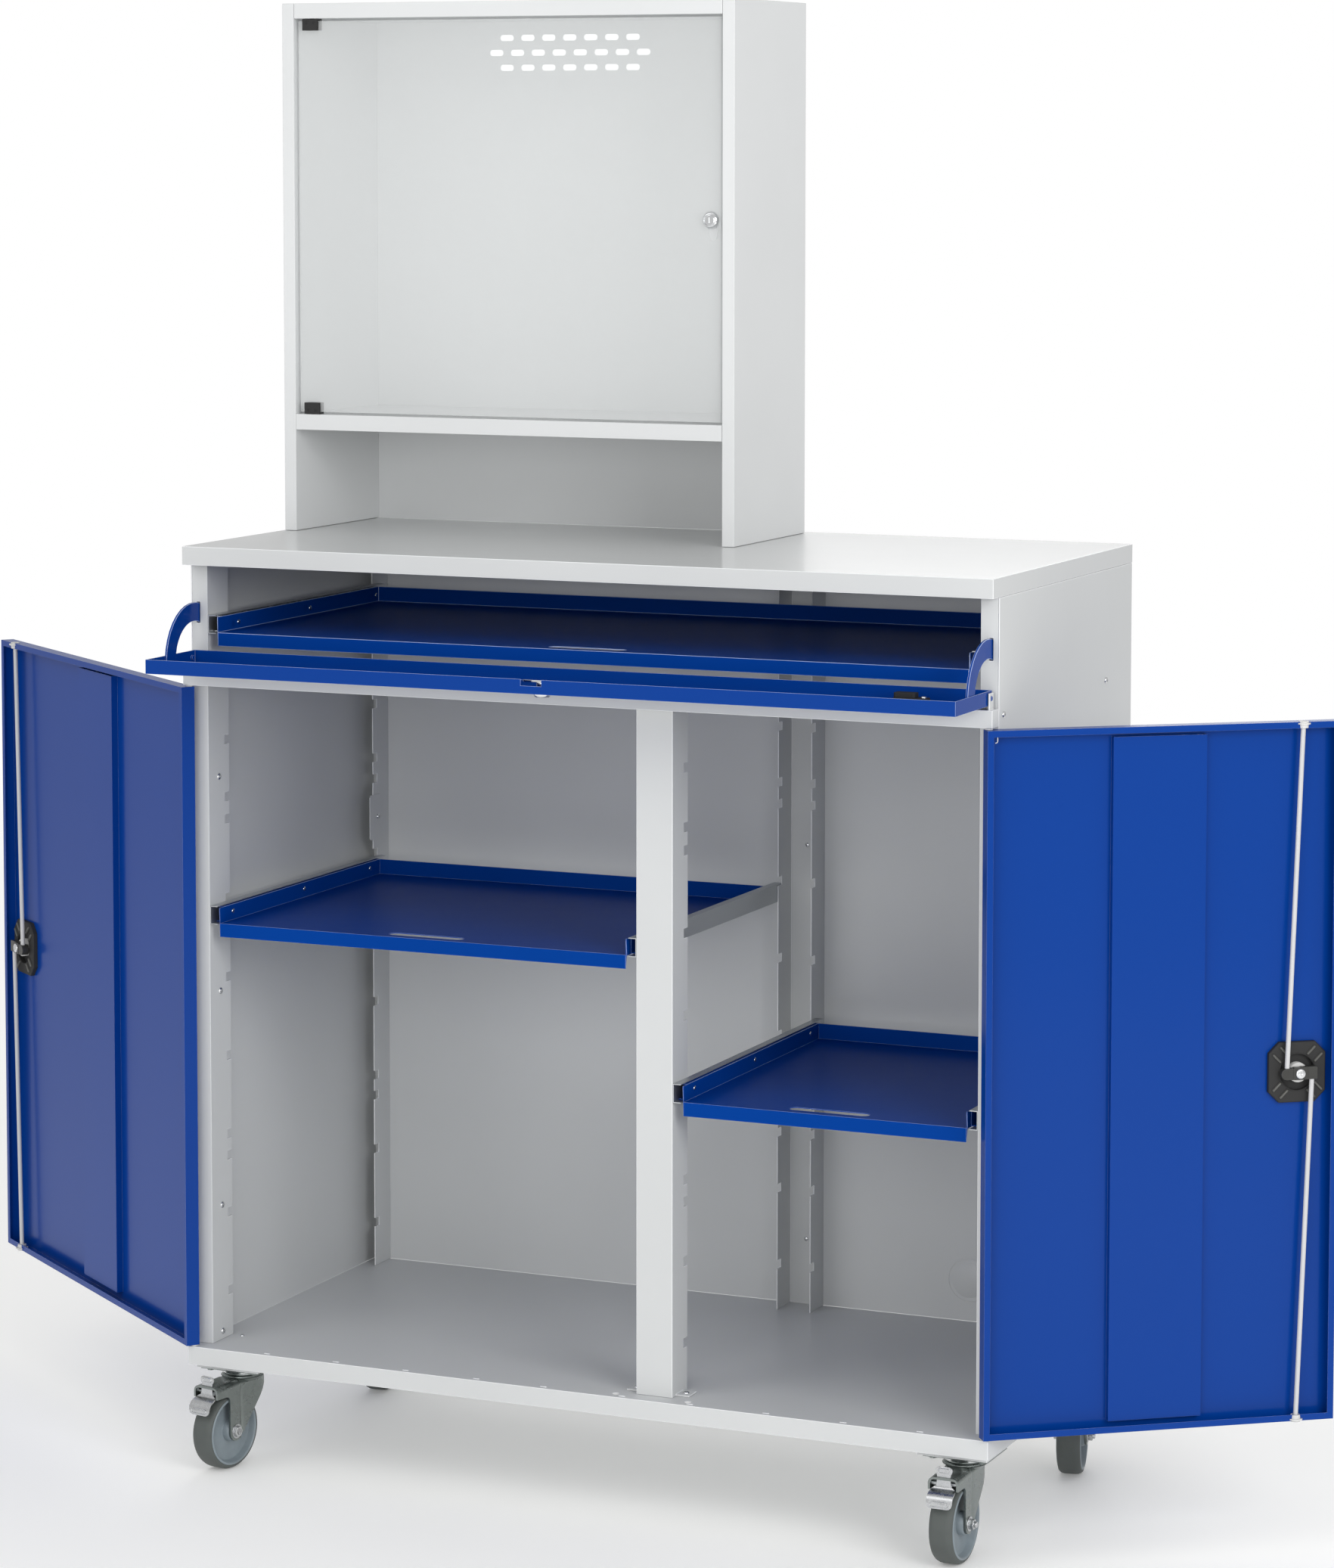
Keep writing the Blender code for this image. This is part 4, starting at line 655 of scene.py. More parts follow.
class Shape:
    """A mesh in the making: forms given in a local frame, kept in the row frame."""

    def __init__(self, at: Optional[Matrix] = None) -> None:
        """Start an empty mesh in a local frame, which is the row frame itself if left out."""
        self.bm = bmesh.new()
        self.at = at or Matrix.Identity(4)

    def row(self, points: Iterable[Point], at: Optional[Matrix] = None) -> list[Vert]:
        """Add points given in the local frame, or in a frame inside it, and return their vertices."""
        place = self.at @ at if at else self.at
        return [self.bm.verts.new(place @ Vector(p)) for p in points]

    def band(self, lower: Sequence[Vert], upper: Sequence[Vert]) -> None:
        """Join two closed rows of the same length by faces.

        Args:
            lower: vertices of the first row.
            upper: vertices of the second row.
        """
        for i, vert in enumerate(lower):
            after = (i + 1) % len(lower)
            self.bm.faces.new((vert, lower[after], upper[after], upper[i]))

    def stack(self, rows: Sequence[list[Vert]], hollow: bool = False) -> None:
        """Join closed rows one after another.

        Args:
            rows: vertices of each row.
            hollow: whether the last row joins back to the first; else both get end faces.
        """
        for lower, upper in zip(rows, rows[1:]):
            self.band(lower, upper)
        if hollow:
            self.band(rows[-1], rows[0])
        else:
            self.bm.faces.new(rows[0][::-1])
            self.bm.faces.new(rows[-1])

    def block(self, low: Point, high: Point, at: Optional[Matrix] = None) -> None:
        """Add a block between two corners."""
        flat = [(low[0], low[1]), (high[0], low[1]), (high[0], high[1]), (low[0], high[1])]
        self.prism(flat, low[2], high[2], at)

    def prism(self, outline: Outline, low: float, high: float, at: Optional[Matrix] = None) -> None:
        """Add an outline drawn out along Z from low to high."""
        self.stack([self.row([(x, y, z) for x, y in outline], at) for z in (low, high)])

    def bar(self, length: float, width: float, levels: Profile, steps: int = 8,
            at: Optional[Matrix] = None, hollow: bool = False) -> None:
        """Add a bar with round ends along X; a level has what length and width lose, and a height."""
        outlines = [(stadium(length - cut, width - cut, steps), z) for cut, z in levels]
        self.stack([self.row([(x, y, z) for x, y in outline], at) for outline, z in outlines], hollow)

    def turned(self, profile: Profile, steps: int = 32, at: Optional[Matrix] = None,
               hollow: bool = False) -> None:
        """Add a form turned about Z, from the radius and height of each row, closed as a ring if hollow."""
        self.stack([self.row(circle(r, z, steps), at) for r, z in profile], hollow)

    def pitted(self, profile: Profile, pit: Outline, depth: float, steps: int = 24,
               at: Optional[Matrix] = None, outer: Optional[Outline] = None) -> None:
        """Add a turned or drawn form whose top has a pit.

        Args:
            profile: radius and height of each row, or scale and height where outer is given.
            pit: outline of the pit.
            depth: depth of the pit.
            steps: number of sides of a turned form.
            at: a frame inside the local frame.
            outer: outline of a drawn form.
        """
        if outer is None:
            rows = [self.row(circle(r, z, steps), at) for r, z in profile]
        else:
            rows = [self.row([(k * x, k * y, z) for x, y in outer], at) for k, z in profile]
        for lower, upper in zip(rows, rows[1:]):
            self.band(lower, upper)
        self.bm.faces.new(rows[0][::-1])
        top = profile[-1][1]
        rim = self.row([(x, y, top) for x, y in pit], at)
        floor = self.row([(x, y, top - depth) for x, y in pit], at)
        self.band(rim, floor)
        self.bm.faces.new(floor)
        edges = []
        for loop in (rows[-1], rim):
            edges += [self.bm.edges.get(ends) for ends in zip(loop, loop[1:] + loop[:1])]
        bmesh.ops.triangle_fill(self.bm, use_beauty=True, edges=edges)

    def skin(self, rows: Sequence[Sequence[Point]], at: Optional[Matrix] = None) -> None:
        """Add an open sheet.

        Args:
            rows: rows of points of the same length.
            at: a frame inside the local frame.
        """
        made = [self.row(points, at) for points in rows]
        for lower, upper in zip(made, made[1:]):
            for i in range(len(lower) - 1):
                self.bm.faces.new((lower[i], lower[i + 1], upper[i + 1], upper[i]))

    def wire(self, path: Sequence[Point], radius: float, at: Matrix) -> None:
        """Add a round wire.

        Args:
            path: points of its middle line, in the frame's XY plane.
            radius: radius of the wire.
            at: a frame inside the local frame.
        """
        points = [Vector(point) for point in path]
        rows = []
        for i, point in enumerate(points):
            run = points[min(i + 1, len(points) - 1)] - points[max(i - 1, 0)]
            rows.append(self.row(circle(radius, 0, 10), at @ facing(point, run)))
        self.stack(rows)

    def bead(self, length: float, width: float, height: float, at: Matrix) -> None:
        """Add a raised bead round a bar with round ends."""
        levels = ((0.0, 0.0), (0.0006, height), (0.0018, height), (0.0024, 0.0))
        self.bar(length, width, levels, at=at, hollow=True)

    def screw(self, at: Matrix, radius: float, height: float) -> None:
        """Add a pan-head screw with a cross recess.

        Args:
            at: a frame inside the local frame, with the head along its Z axis.
            radius: radius of the head.
            height: height of the head.
        """
        head =[(1.0, 0.0), (1.0, 0.4), (0.92, 0.75), (0.70, 1.0)]
        profile = [(radius * r, height * z) for r, z in head]
        self.pitted(profile, cross(0.5 * radius, 0.12 * radius), 0.55 * height, 20, at)

    def rivet(self, at: Matrix, radius: float, height: float) -> None:
        """Add a domed rivet head along the frame's Z."""
        steps = [(1.0, 0.0), (0.96, 0.35), (0.80, 0.70), (0.50, 0.93), (0.18, 1.0)]
        self.turned([(radius * r, height * z) for r, z in steps], 18, at)

    def hex_head(self, at: Matrix, radius: float, height: float) -> None:
        """Add a washer and a chamfered hexagon head along the frame's Z.

        Args:
            at: a frame inside the local frame.
            radius: radius over the hexagon's corners.
            height: height of washer and head together.
        """
        washer = 0.16 * height
        self.turned([(1.3 * radius, 0), (1.3 * radius, washer)], 24, at)
        self.turned([(radius, washer), (radius, 0.86 * height), (0.86 * radius, height)], 6, at)

    def finish(self, name: str, finish: Finish, body: str, bevel: float = 0.0, thickness: float = 0.0,
               replaces: Sequence[str] = ()) -> bpy.types.Object:
        """Turn the shape into a piece of the cabinet.

        Args:
            name: name of the piece.
            finish: what it is coated with or moulded from.
            body: CAD body that it rides on.
            bevel: width of its edges' rounding, none if zero.
            thickness: gauge where the shape is an open sheet.
            replaces: CAD nodes that it stands for.

        Returns:
            The finished object.
        """
        bmesh.ops.recalc_face_normals(self.bm, faces=self.bm.faces)
        mesh = bpy.data.meshes.new(name)
        self.bm.to_mesh(mesh)
        self.bm.free()
        mesh.materials.append(finish.material())
        mesh.shade_smooth()
        mesh.set_sharp_from_angle(angle=SHARP_ANGLE)
        piece = add_object(name, mesh)
        if thickness:
            gauge = piece.modifiers.new("gauge", "SOLIDIFY")
            gauge.thickness = thickness
            gauge.offset = 0
        if bevel:
            round_edges(piece, bevel)
        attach(piece, body)
        if replaces:
            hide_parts(*replaces)
        log.info("%s on %s", name, body)
        return piece


def round_edges(piece: bpy.types.Object, width: float, coat: int = -1) -> None:
    """Give a piece small rounded edges and shading weighted by face area.

    Args:
        piece: the object.
        width: width of the rounding.
        coat: place of the rounding's own material on the object, the neighbours' material if negative; where
            given, that material is a painted highlight.
    """
    bevel = piece.modifiers.new("rounded edges", "BEVEL")
    bevel.width = width
    bevel.material = coat
    bevel.segments = 2
    bevel.limit_method = "ANGLE"
    bevel.angle_limit = SHARP_ANGLE
    bevel.use_clamp_overlap = True
    weighted = piece.modifiers.new("flat faces", "WEIGHTED_NORMAL")
    weighted.weight = 80
    weighted.keep_sharp = False


def dress(node: str, finish: Finish, bevel: float, edge_highlight: Optional[Finish] = None) -> bpy.types.Object:
    """Give a CAD node its finish and rounded edges.

    Args:
        node: name of the CAD node.
        finish: what it is coated with or moulded from.
        bevel: width of its edges' rounding, sharp and flat if zero.
        edge_highlight: paler finish of the rounded edges, a painted highlight on the folds.

    Returns:
        The node's object.
    """
    piece = NODES[node]
    piece.data.materials.clear()
    piece.data.materials.append(finish.material())
    if bevel:
        piece.data.shade_smooth()
        weld = piece.modifiers.new("joined faces", "WELD")
        weld.merge_threshold = WELD_DISTANCE
        # The rounded edges take the paler material: a painted highlight on the folds.
        if edge_highlight:
            piece.data.materials.append(edge_highlight.material())
        round_edges(piece, bevel, 1 if edge_highlight else -1)
    else:
        piece.data.shade_flat()
    log.info("%s dressed", node)
    return piece


def joint_point(name: str) -> Vector:
    """Place of a joint at rest, in the row frame."""
    return Vector(JOINTS[name]["pos_m"])


def joint_axis(name: str) -> Vector:
    """Axis of a joint, in the row frame."""
    return Vector(JOINTS[name]["axis"]).normalized()


def front_middle() -> Vector:
    """Middle of the worktop's front edge, brought down to the ground."""
    low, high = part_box("worktop")
    return Vector(((low.x + high.x) / 2, low.y, 0))


def build_back_screws(name: str, panel: str, inset: Pair, rows: int, screw: Pair) -> None:
    """Screw a back panel on along its two upright edges.

    Args:
        name: name of the piece.
        panel: CAD node of the panel.
        inset: distance of the screws from the panel's edges, along X and Z.
        rows: number of screws in each edge.
        screw: radius and height of a head.
    """
    shape = Shape()
    low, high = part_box(panel)
    for i in range(rows):
        z = low.z + inset[1] + (high.z - low.z - 2 * inset[1]) * i / (rows - 1)
        for x in (low.x + inset[0], high.x - inset[0]):
            shape.screw(facing((x, high.y, z), (0, 1, 0)), *screw)
    shape.finish(name, BRIGHT_ZINC, "cabinet")


# Sub-assemblies


@dataclass
class Carcass:
    """Grey sheet-steel carcass with its screws, rivets and cable knock-out.

    A screw or rivet is given by its head's radius and height.
    """

    edge: float = 0.0007
    screw: Pair = (0.0042, 0.0022)
    small_screw: Pair = (0.00294, 0.00154)
    rivet: Pair = (0.0030, 0.0014)
    panel_screw_z: float = 1.036
    panel_screw_depths: Pair = (0.038, 0.424)
    post_screw_levels: tuple[float, ...] = (0.171, 0.338, 0.620, 0.900)
    post_screw_depth: float = 0.049
    post_gauge: float = 0.0012
    rivet_levels: Pair = (0.249, 0.783)
    foot_screw_place: Pair = (0.0335, 0.023)
    foot_gauge: float = 0.0015
    floor_screw_place: Pair = (0.511, 0.0736)
    floor_sink: float = 0.0003
    weld_marks: tuple[float, ...] = (
        -0.438, -0.338, -0.238, -0.138, -0.044, 0.064, 0.156, 0.258, 0.360, 0.460)
    weld_mark_depth: float = 0.0075
    weld_mark_size: Pair = (0.0095, 0.0030)
    weld_mark_levels: Profile = ((0.0, -0.0002), (0.0002, 0.0004), (0.0009, 0.0007))
    plate_size: Triple = (0.032, 0.062, 0.0014)
    plate_cut: float = 0.003
    plate_edge: float = 0.0004
    plate_setback: float = 0.004
    plate_z: float = 0.789
    plate_screw: Pair = (0.00336, 0.0022)
    plate_screw_shift: float = 0.006
    back_screw_inset: Pair = (0.014, 0.014)
    back_screw_rows: int = 5
    knock_out_x: float = 0.333
    knock_out_z: float = 0.215
    knock_out_radius: float = 0.030
    knock_out_ring: float = 0.0022
    nodes: tuple[str, ...] = (
        "base_pan", "worktop", "left_side_panel", "right_side_panel", "back_panel", "left_front_post",
        "right_front_post", "left_rear_upright", "right_rear_upright", "front_rail", "divider_front_post",
        "divider_rear_post")

    def __post_init__(self) -> None:
        """Find the points that the fasteners are measured from."""
        self.origin = front_middle()
        self.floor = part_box("left_front_post")[0].z - self.floor_sink

    def build(self) -> None:
        """Dress the sheet parts and add what holds them together."""
        for node in self.nodes:
            # The rounded folds get the paler grey of a painted highlight.
            dress(node, TOP_GREY if node == "worktop" else GREY, self.edge, GREY_HIGHLIGHT)
        self.build_screws()
        self.build_rivets()
        self.build_plates()
        self.build_weld_marks()
        build_back_screws("back_screws", "back_panel", self.back_screw_inset, self.back_screw_rows,
                          self.screw)
        self.build_knock_out()

    def build_screws(self) -> None:
        """Pan screws in the side panels and in the front posts' inner faces."""
        shape = Shape()
        for side in Side:
            x = side.outer(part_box(f"{side.word}_side_panel"))
            for depth in self.panel_screw_depths:
                place = (x, self.origin.y + depth, self.panel_screw_z)
                shape.screw(facing(place, (side.value, 0, 0)), *self.screw)
            x = side.inner(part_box(f"{side.word}_front_post"))
            for level in self.post_screw_levels:
                place = (x, self.origin.y + self.post_screw_depth, level)
                shape.screw(facing(place, (-side.value, 0, 0)), *self.screw)
        shape.finish("carcass_screws", BRIGHT_ZINC, "cabinet")

    def build_rivets(self) -> None:
        """Rivets in the rear divider post, screws in the front one's foot tabs and in the floor."""
        shape = Shape()
        low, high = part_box("divider_rear_post")
        for level in self.rivet_levels:
            place = ((low.x + high.x) / 2, high.y - self.post_gauge, level)
            shape.rivet(facing(place, (0, -1, 0)), *self.rivet)
        low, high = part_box("divider_front_post")
        for sign in (-1, 1):
            x, depth = self.foot_screw_place
            place = ((low.x + high.x) / 2 + sign * x, low.y + depth, low.z + self.foot_gauge)
            shape.screw(facing(place, UP), *self.screw)
            x, depth = self.floor_screw_place
            place = (self.origin.x + sign * x, self.origin.y + depth, self.floor)
            shape.screw(facing(place, UP), *self.small_screw)
        shape.finish("upright_rivets", BRIGHT_ZINC, "cabinet")

    def build_weld_marks(self) -> None:
        """Row of short pressed bars behind the front edge of the base floor."""
        shape = Shape()
        for x in self.weld_marks:
            at = Matrix.Translation((self.origin.x + x, self.origin.y + self.weld_mark_depth, self.floor))
            shape.bar(*self.weld_mark_size, self.weld_mark_levels, 4, at)
        # The bars are painted in the paler grey of a painted highlight.
        shape.finish("base_weld_marks", GREY_HIGHLIGHT, "cabinet")

    def build_plates(self) -> None:
        """Fixing plates with a screw on the rear uprights' inner faces."""
        plates, screws = Shape(), Shape()
        depth, height, gauge = self.plate_size
        for side in Side:
            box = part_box(f"{side.word}_rear_upright")
            x, y, inward = side.inner(box), box[0].y + self.plate_setback, (-side.value, 0, 0)
            at = facing((x, y, self.plate_z), inward)
            plates.prism(chamfered(depth / 2, height / 2, self.plate_cut), 0, gauge, at)
            at = facing((x, y + self.plate_screw_shift, self.plate_z), inward)
            screws.screw(at @ Matrix.Translation((0, 0, gauge)), *self.plate_screw)
        plates.finish("upright_plates", GREY, "cabinet", self.plate_edge)
        screws.finish("upright_plate_screws", BRIGHT_ZINC, "cabinet")

    def build_knock_out(self) -> None:
        """Pressed ring of the cable knock-out, on both faces of the back panel."""
        low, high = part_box("back_panel")
        shape = Shape()
        outer, inner = self.knock_out_radius, self.knock_out_radius - self.knock_out_ring
        ring = [(inner, -0.0002), (inner + 0.0004, 0.0005), (outer - 0.0004, 0.0005), (outer, -0.0002)]
        for y, normal in ((low.y, -1), (high.y, 1)):
            at = facing((self.origin.x + self.knock_out_x, y, self.knock_out_z), (0, normal, 0))
            shape.turned(ring, 48, at, hollow=True)
            shape.turned([(inner - 0.004, -0.0002), (inner - 0.0048, 0.0004)], 48, at)
        shape.finish("cable_knock_out", GREY, "cabinet")


@dataclass
class CamLock:
    """Cam lock: flanged head, keyed core, barrel and turning arm."""

    node: str
    joint: str
    body: str
    head_direction: Triple
    arm_direction: Triple
    head_radius: float = 0.011
    head_height: float = 0.005
    barrel_radius: float = 0.008
    key_half: Pair = (0.0007, 0.0034)
    key_depth: float = 0.0022
    arm_length: float = 0.026
    arm_width: float = 0.012
    arm_gauge: float = 0.0025
    edge: float = 0.0003

    def build(self) -> None:
        """Build the lock in place of its CAD node."""
        origin = joint_point(self.joint)
        out = Vector(self.head_direction)
        reach = [(vert.co - origin).dot(out) for vert in NODES[self.node].data.vertices]
        front, back = max(reach), min(reach)
        shape = Shape(facing(origin, out, -Vector(self.arm_direction)))
        r, face = self.head_radius, front - self.head_height
        flange = [(self.barrel_radius, face), (r, face), (r, face + 0.0016), (0.94 * r, face + 0.0032),
                  (0.80 * r, front - 0.0002), (0.70 * r, front), (0.68 * r, front - 0.0012)]
        shape.turned(flange, 36)
        x, y = self.key_half
        core = [(0.62 * r, face), (0.62 * r, front - 0.0004), (0.58 * r, front)]
        shape.pitted(core, [(x, -y), (x, y), (-x, y), (-x, -y)], self.key_depth, 28)
        shape.turned([(self.barrel_radius, back + self.arm_gauge), (self.barrel_radius, face)], 28)
        shift = (self.arm_length - self.arm_width / 2) / 2
        arm = [(-y, x - shift) for x, y in stadium(self.arm_length + self.arm_width / 2, self.arm_width)]
        shape.prism(arm, back, back + self.arm_gauge)
        shape.finish(self.node + "_detail", CHROME, self.body, self.edge, replaces=[self.node])


@dataclass
class ScreenHousing:
    """Screen housing: grey boards, vented back, clear pane with clips and lock."""

    edge: float = 0.0009
    pane_edge: float = 0.0004
    clip_edge: float = 0.0012
    clip_screw: Pair = (0.0019, 0.0006)
    clip_screw_place: Pair = (0.0055, 0.0105)
    cover_inset: float = 0.0024
    cover_gauge: float = 0.0012
    cover_cut: float = 0.001
    cover_edge: float = 0.0004
    cover_screw: Pair = (0.00288, 0.0009)
    cover_screw_shares: tuple[float, ...] = (-0.94, -0.32, 0.32, 0.94)
    back_screw: Pair = (0.0036, 0.0018)
    back_screw_inset: Pair = (0.009, 0.02)
    back_screw_rows: int = 4
    boards: tuple[str, ...] = ("housing_left_side", "housing_right_side", "housing_top", "housing_shelf")
    clips: tuple[str, ...] = ("pane_hinge_upper", "pane_hinge_lower")

    def build(self) -> None:
        """Dress the boards and build the pane's fittings."""
        # The housing's boards and back take the paler grey that is painted light.
        for node in self.boards:
            dress(node, LIT_GREY, self.edge)
        dress("housing_back", LIT_GREY, 0.0)
        dress("pane", CLEAR, self.pane_edge)
        for node in self.clips:
            dress(node, BLACK, self.clip_edge)
        self.build_clip_screws()
        build_back_screws("housing_screws", "housing_back", self.back_screw_inset, self.back_screw_rows,
                          self.back_screw)
        self.build_covers()
        CamLock("pane_lock", "pane_lock_turn", "pane_lock", (0, -1, 0), (0, 0, -1)).build()

    def build_clip_screws(self) -> None:
        """Grub screws in the faces of the pane's hinge clips."""
        shape = Shape()
        reach, inset = self.clip_screw_place
        for node in self.clips:
            low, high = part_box(node)
            level = low.z + inset if node.endswith("lower") else high.z - inset
            for shift in (-reach, reach):
                at = facing(((low.x + high.x) / 2 + shift, low.y, level), (0, -1, 0))
                shape.screw(at, *self.clip_screw)
        shape.finish("pane_clip_screws", BLACK, "pane")

    def build_covers(self) -> None:
        """Strips that close the hollow sides at the back."""
        shape, screws = Shape(), Shape()
        for side in Side:
            low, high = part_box(f"housing_{side.word}_side")
            middle, half = (low + high) / 2, (high - low) / 2
            x, z = half.x - self.cover_inset, half.z - self.cover_inset
            at = facing((middle.x, high.y - self.cover_inset, middle.z), (0, 1, 0))
            shape.prism(chamfered(x, z, self.cover_cut), 0, self.cover_gauge, at)
            for share in self.cover_screw_shares:
                place = at @ Matrix.Translation((0, share * z, self.cover_gauge))
                screws.screw(place, *self.cover_screw)
        # The covers take the paler grey that is painted light.
        shape.finish("housing_side_covers", LIT_GREY, "cabinet", self.cover_edge)
        screws.finish("housing_cover_screws", BRIGHT_ZINC, "cabinet")


@dataclass
class Pullouts:
    """Keyboard tray and two pull-out shelves on their slides."""

    edge: float = 0.0006
    slide_edge: float = 0.0003
    rivet: Pair = (0.0032, 0.0012)
    rivet_setbacks: tuple[float, ...] = (0.035, 0.230, 0.420)
    rivet_drop: float = 0.009
    flange_inset: float = 0.0125

    def build(self) -> None:
        """Dress trays and slides and add the rivets that join them."""
        for name in ("keyboard_tray", "left_shelf", "right_shelf"):
            # The rounded folds get the pale blue of a painted highlight.
            dress(name, TRAY_BLUE, self.edge, BLUE_HIGHLIGHT)
            for side in Side:
                dress(f"{name}_{side.word}_rail", ZINC, self.slide_edge)
                runner = f"{name}_{side.word}_runner"
                if runner in NODES:
                    dress(runner, BRIGHT_ZINC, self.slide_edge)
            self.build_rivets(name)

    def build_rivets(self, name: str) -> None:
        """Rivets on the inner faces of a tray's side flanges.

        Args:
            name: CAD node and body of the tray.
        """
        shape = Shape()
        low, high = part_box(name)
        for x, normal in ((low.x + self.flange_inset, 1), (high.x - self.flange_inset, -1)):
            for setback in self.rivet_setbacks:
                at = facing((x, low.y + setback, high.z - self.rivet_drop), (normal, 0, 0))
                shape.rivet(at, *self.rivet)
        shape.finish(name + "_rivets", BRIGHT_ZINC, name)


@dataclass
class Flap:
    """Blue flap in front of the keyboard tray, with stays, lock and catch."""

    edge: float = 0.0006
    floor: float = 0.0012
    catch_place: Pair = (0.4525, -0.0140)
    catch_size: Triple = (0.043, 0.018, 0.0130)
    catch_edge: float = 0.0005
    catch_screw: Pair = (0.0036, 0.0020)

    def build(self) -> None:
        """Dress the sheet parts and build lock and catch."""
        for node in ("flap", "flap_left_stay", "flap_right_stay"):
            # The rounded folds get the pale blue of a painted highlight.
            dress(node, BLUE, self.edge, BLUE_HIGHLIGHT)
        CamLock("flap_lock", "flap_lock_turn", "flap_lock", (0, 0, -1), (-1, 0, 0)).build()
        self.build_catch()

    def build_catch(self) -> None:
        """Black catch with its screw, inside the flap near the right end."""
        low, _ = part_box("flap")
        origin, (x, y) = front_middle(), self.catch_place
        at = Matrix.Translation((origin.x + x, origin.y + y, low.z + self.floor))
        shape = Shape(at)
        length, depth, height = self.catch_size
        base = 0.55 * height
        shape.prism(chamfered(length / 2, depth / 2, 0.003), 0, base)
        shape.prism(chamfered(0.32 * length, 0.42 * depth, 0.002), base, height,
                    Matrix.Translation((-0.16 * length, 0, 0)))
        shape.finish("flap_catch", BLACK, "flap", self.catch_edge)
        screw = Shape(at)
        screw.screw(Matrix.Translation((0.36 * length, 0, base)), *self.catch_screw)
        screw.finish("flap_catch_screw", BRIGHT_ZINC, "flap")


@dataclass
class Door:
    """Blue door with lock case, lever, outside handle, rods and bushes.

    Depths are measured inward from the lock's joint.
    """

    side: Side
    edge: float = 0.0006
    rod_edge: float = 0.0004
    inside: float = -0.0038
    outside: float = -0.005
    case_half: Pair = (0.0365, 0.0372)
    case_cut: float = 0.0135
    case_face: float = 0.0030
    case_edge: float = 0.0004
    recess_radius: float = 0.0222
    recess_depth: float = 0.0058
    rim_gap: float = 0.0004
    rim_height: float = 0.0006
    rib_length: float = 0.0150
    rib_width: float = 0.0030
    rib_height: float = 0.0022
    rib_reach: float = 0.0310
    rib_offset: float = 0.0064
    lever_low: float = 0.0038
    lever_face: float = 0.0140
    lever_edge: float = 0.0007
    arm_size: Pair = (0.0280, 0.0142)
    arm_shift: Pair = (-0.0105, -0.0004)
    tail_half: Pair = (0.0112, 0.0078)
    tail_cut: float = 0.0012
    tail_shift: Pair = (0.0112, 0.0004)
    tail_drop: float = 0.0003
    hub_half: Pair = (0.0094, 0.0076)
    hub_cut: float = 0.0016
    hub_rise: float = 0.0006
    lever_screw: Pair = (0.0062, 0.0020)
    boss_radius: float = 0.0122
    grip_length: float = 0.062
    grip_width: float = 0.016
    grip_height: float = 0.020
    grip_edge: float = 0.0004
    rose_radius: float = 0.022
    rose_gap: float = 0.0003
    spindle_radius: float = 0.0058
    bush: Profile = ((0.0036, -0.0075), (0.0058, -0.0075), (0.0062, -0.0030), (0.0086, -0.0030),
                     (0.0086, -0.0013), (0.0062, -0.0013), (0.0062, 0.0007), (0.0036, 0.0007))
    washer: Profile = ((0.0028, 0.0001), (0.0048, 0.0001), (0.0048, 0.0015), (0.0028, 0.0015))
    lip_gap: float = 0.0010
    rod_tip: float = 0.002
    hook_wire: float = 0.0006
    hook_place: Triple = (0.0060, -0.0110, 0.0100)
    hook_path: Outline = ((-0.0010, -0.0016), (0.0012, -0.0020), (0.0021, -0.0034), (0.0021, -0.0096),
                          (0.0012, -0.0110), (-0.0008, -0.0114))

    def __post_init__(self) -> None:
        """Find the door's own frame at its lock: X away from the hinge, Y up and Z inward."""
        self.name = f"{self.side.word}_door"
        self.hinge = joint_point(self.name + "_hinge")
        self.lock = joint_point(self.name + "_handle_turn")
        inward = joint_axis(self.name + "_handle_turn") * -self.side.value
        span = self.lock - self.hinge
        span.z = 0
        self.along = (span - inward * span.dot(inward)).normalized()
        self.at = with_axes(self.along, UP, inward, self.lock)

    def build(self) -> None:
        """Dress the door pan and rods and build its fittings."""
        # The rounded folds get the pale blue of a painted highlight.
        dress(self.name, BLUE, self.edge, BLUE_HIGHLIGHT)
        for word in ("upper", "lower"):
            dress(f"{self.name}_{word}_rod", ROD_COAT, self.rod_edge)
        self.build_case()
        self.build_ribs()
        self.build_lever()
        self.build_handle()
        self.build_bushes()
        self.build_hook()

    def build_case(self) -> None:
        """Black lock case: cut-corner plate with a round, rimmed recess."""
        shape = Shape(self.at)
        face = self.case_face
        outer = chamfered(*self.case_half, self.case_cut)
        pit = [(x, y) for x, y, _ in circle(self.recess_radius, 0, 40)]
        profile = [(1.0, self.inside), (1.0, face - 0.0012), (0.965, face)]
        shape.pitted(profile, pit, self.recess_depth, outer=outer)
        ring, top = self.recess_radius + self.rim_gap, face + self.rim_height
        rim = [(ring, face - 0.0002), (ring + 0.0002, top), (ring + 0.0012, top),
               (ring + 0.0016, face - 0.0002)]
        shape.turned(rim, 40, hollow=True)
        shape.finish(self.name + "_lock_case", BLACK, self.name, self.case_edge,
                     replaces=[self.name + "_lock_box"])

    def build_ribs(self) -> None:
        """Pairs of ribs in the lock case's corners, in a paler black that is a painted highlight."""
        ribs = Shape(self.at)
        face, height = self.case_face, self.rib_height
        levels = ((0.0, face - 0.0004), (0.0, face + 0.5 * height), (0.0007, face + 0.85 * height),
                  (0.0016, face + height))
        for corner in range(4):
            spin = Matrix.Rotation(math.pi / 4 + corner * math.pi / 2, 4, "Z")
            for shift in (-self.rib_offset, self.rib_offset):
                place = spin @ Matrix.Translation((self.rib_reach, shift, 0))
                ribs.bar(self.rib_length, self.rib_width, levels, 4, place)
        ribs.finish(self.name + "_lock_ribs", RIB_HIGHLIGHT_BLACK, self.name)

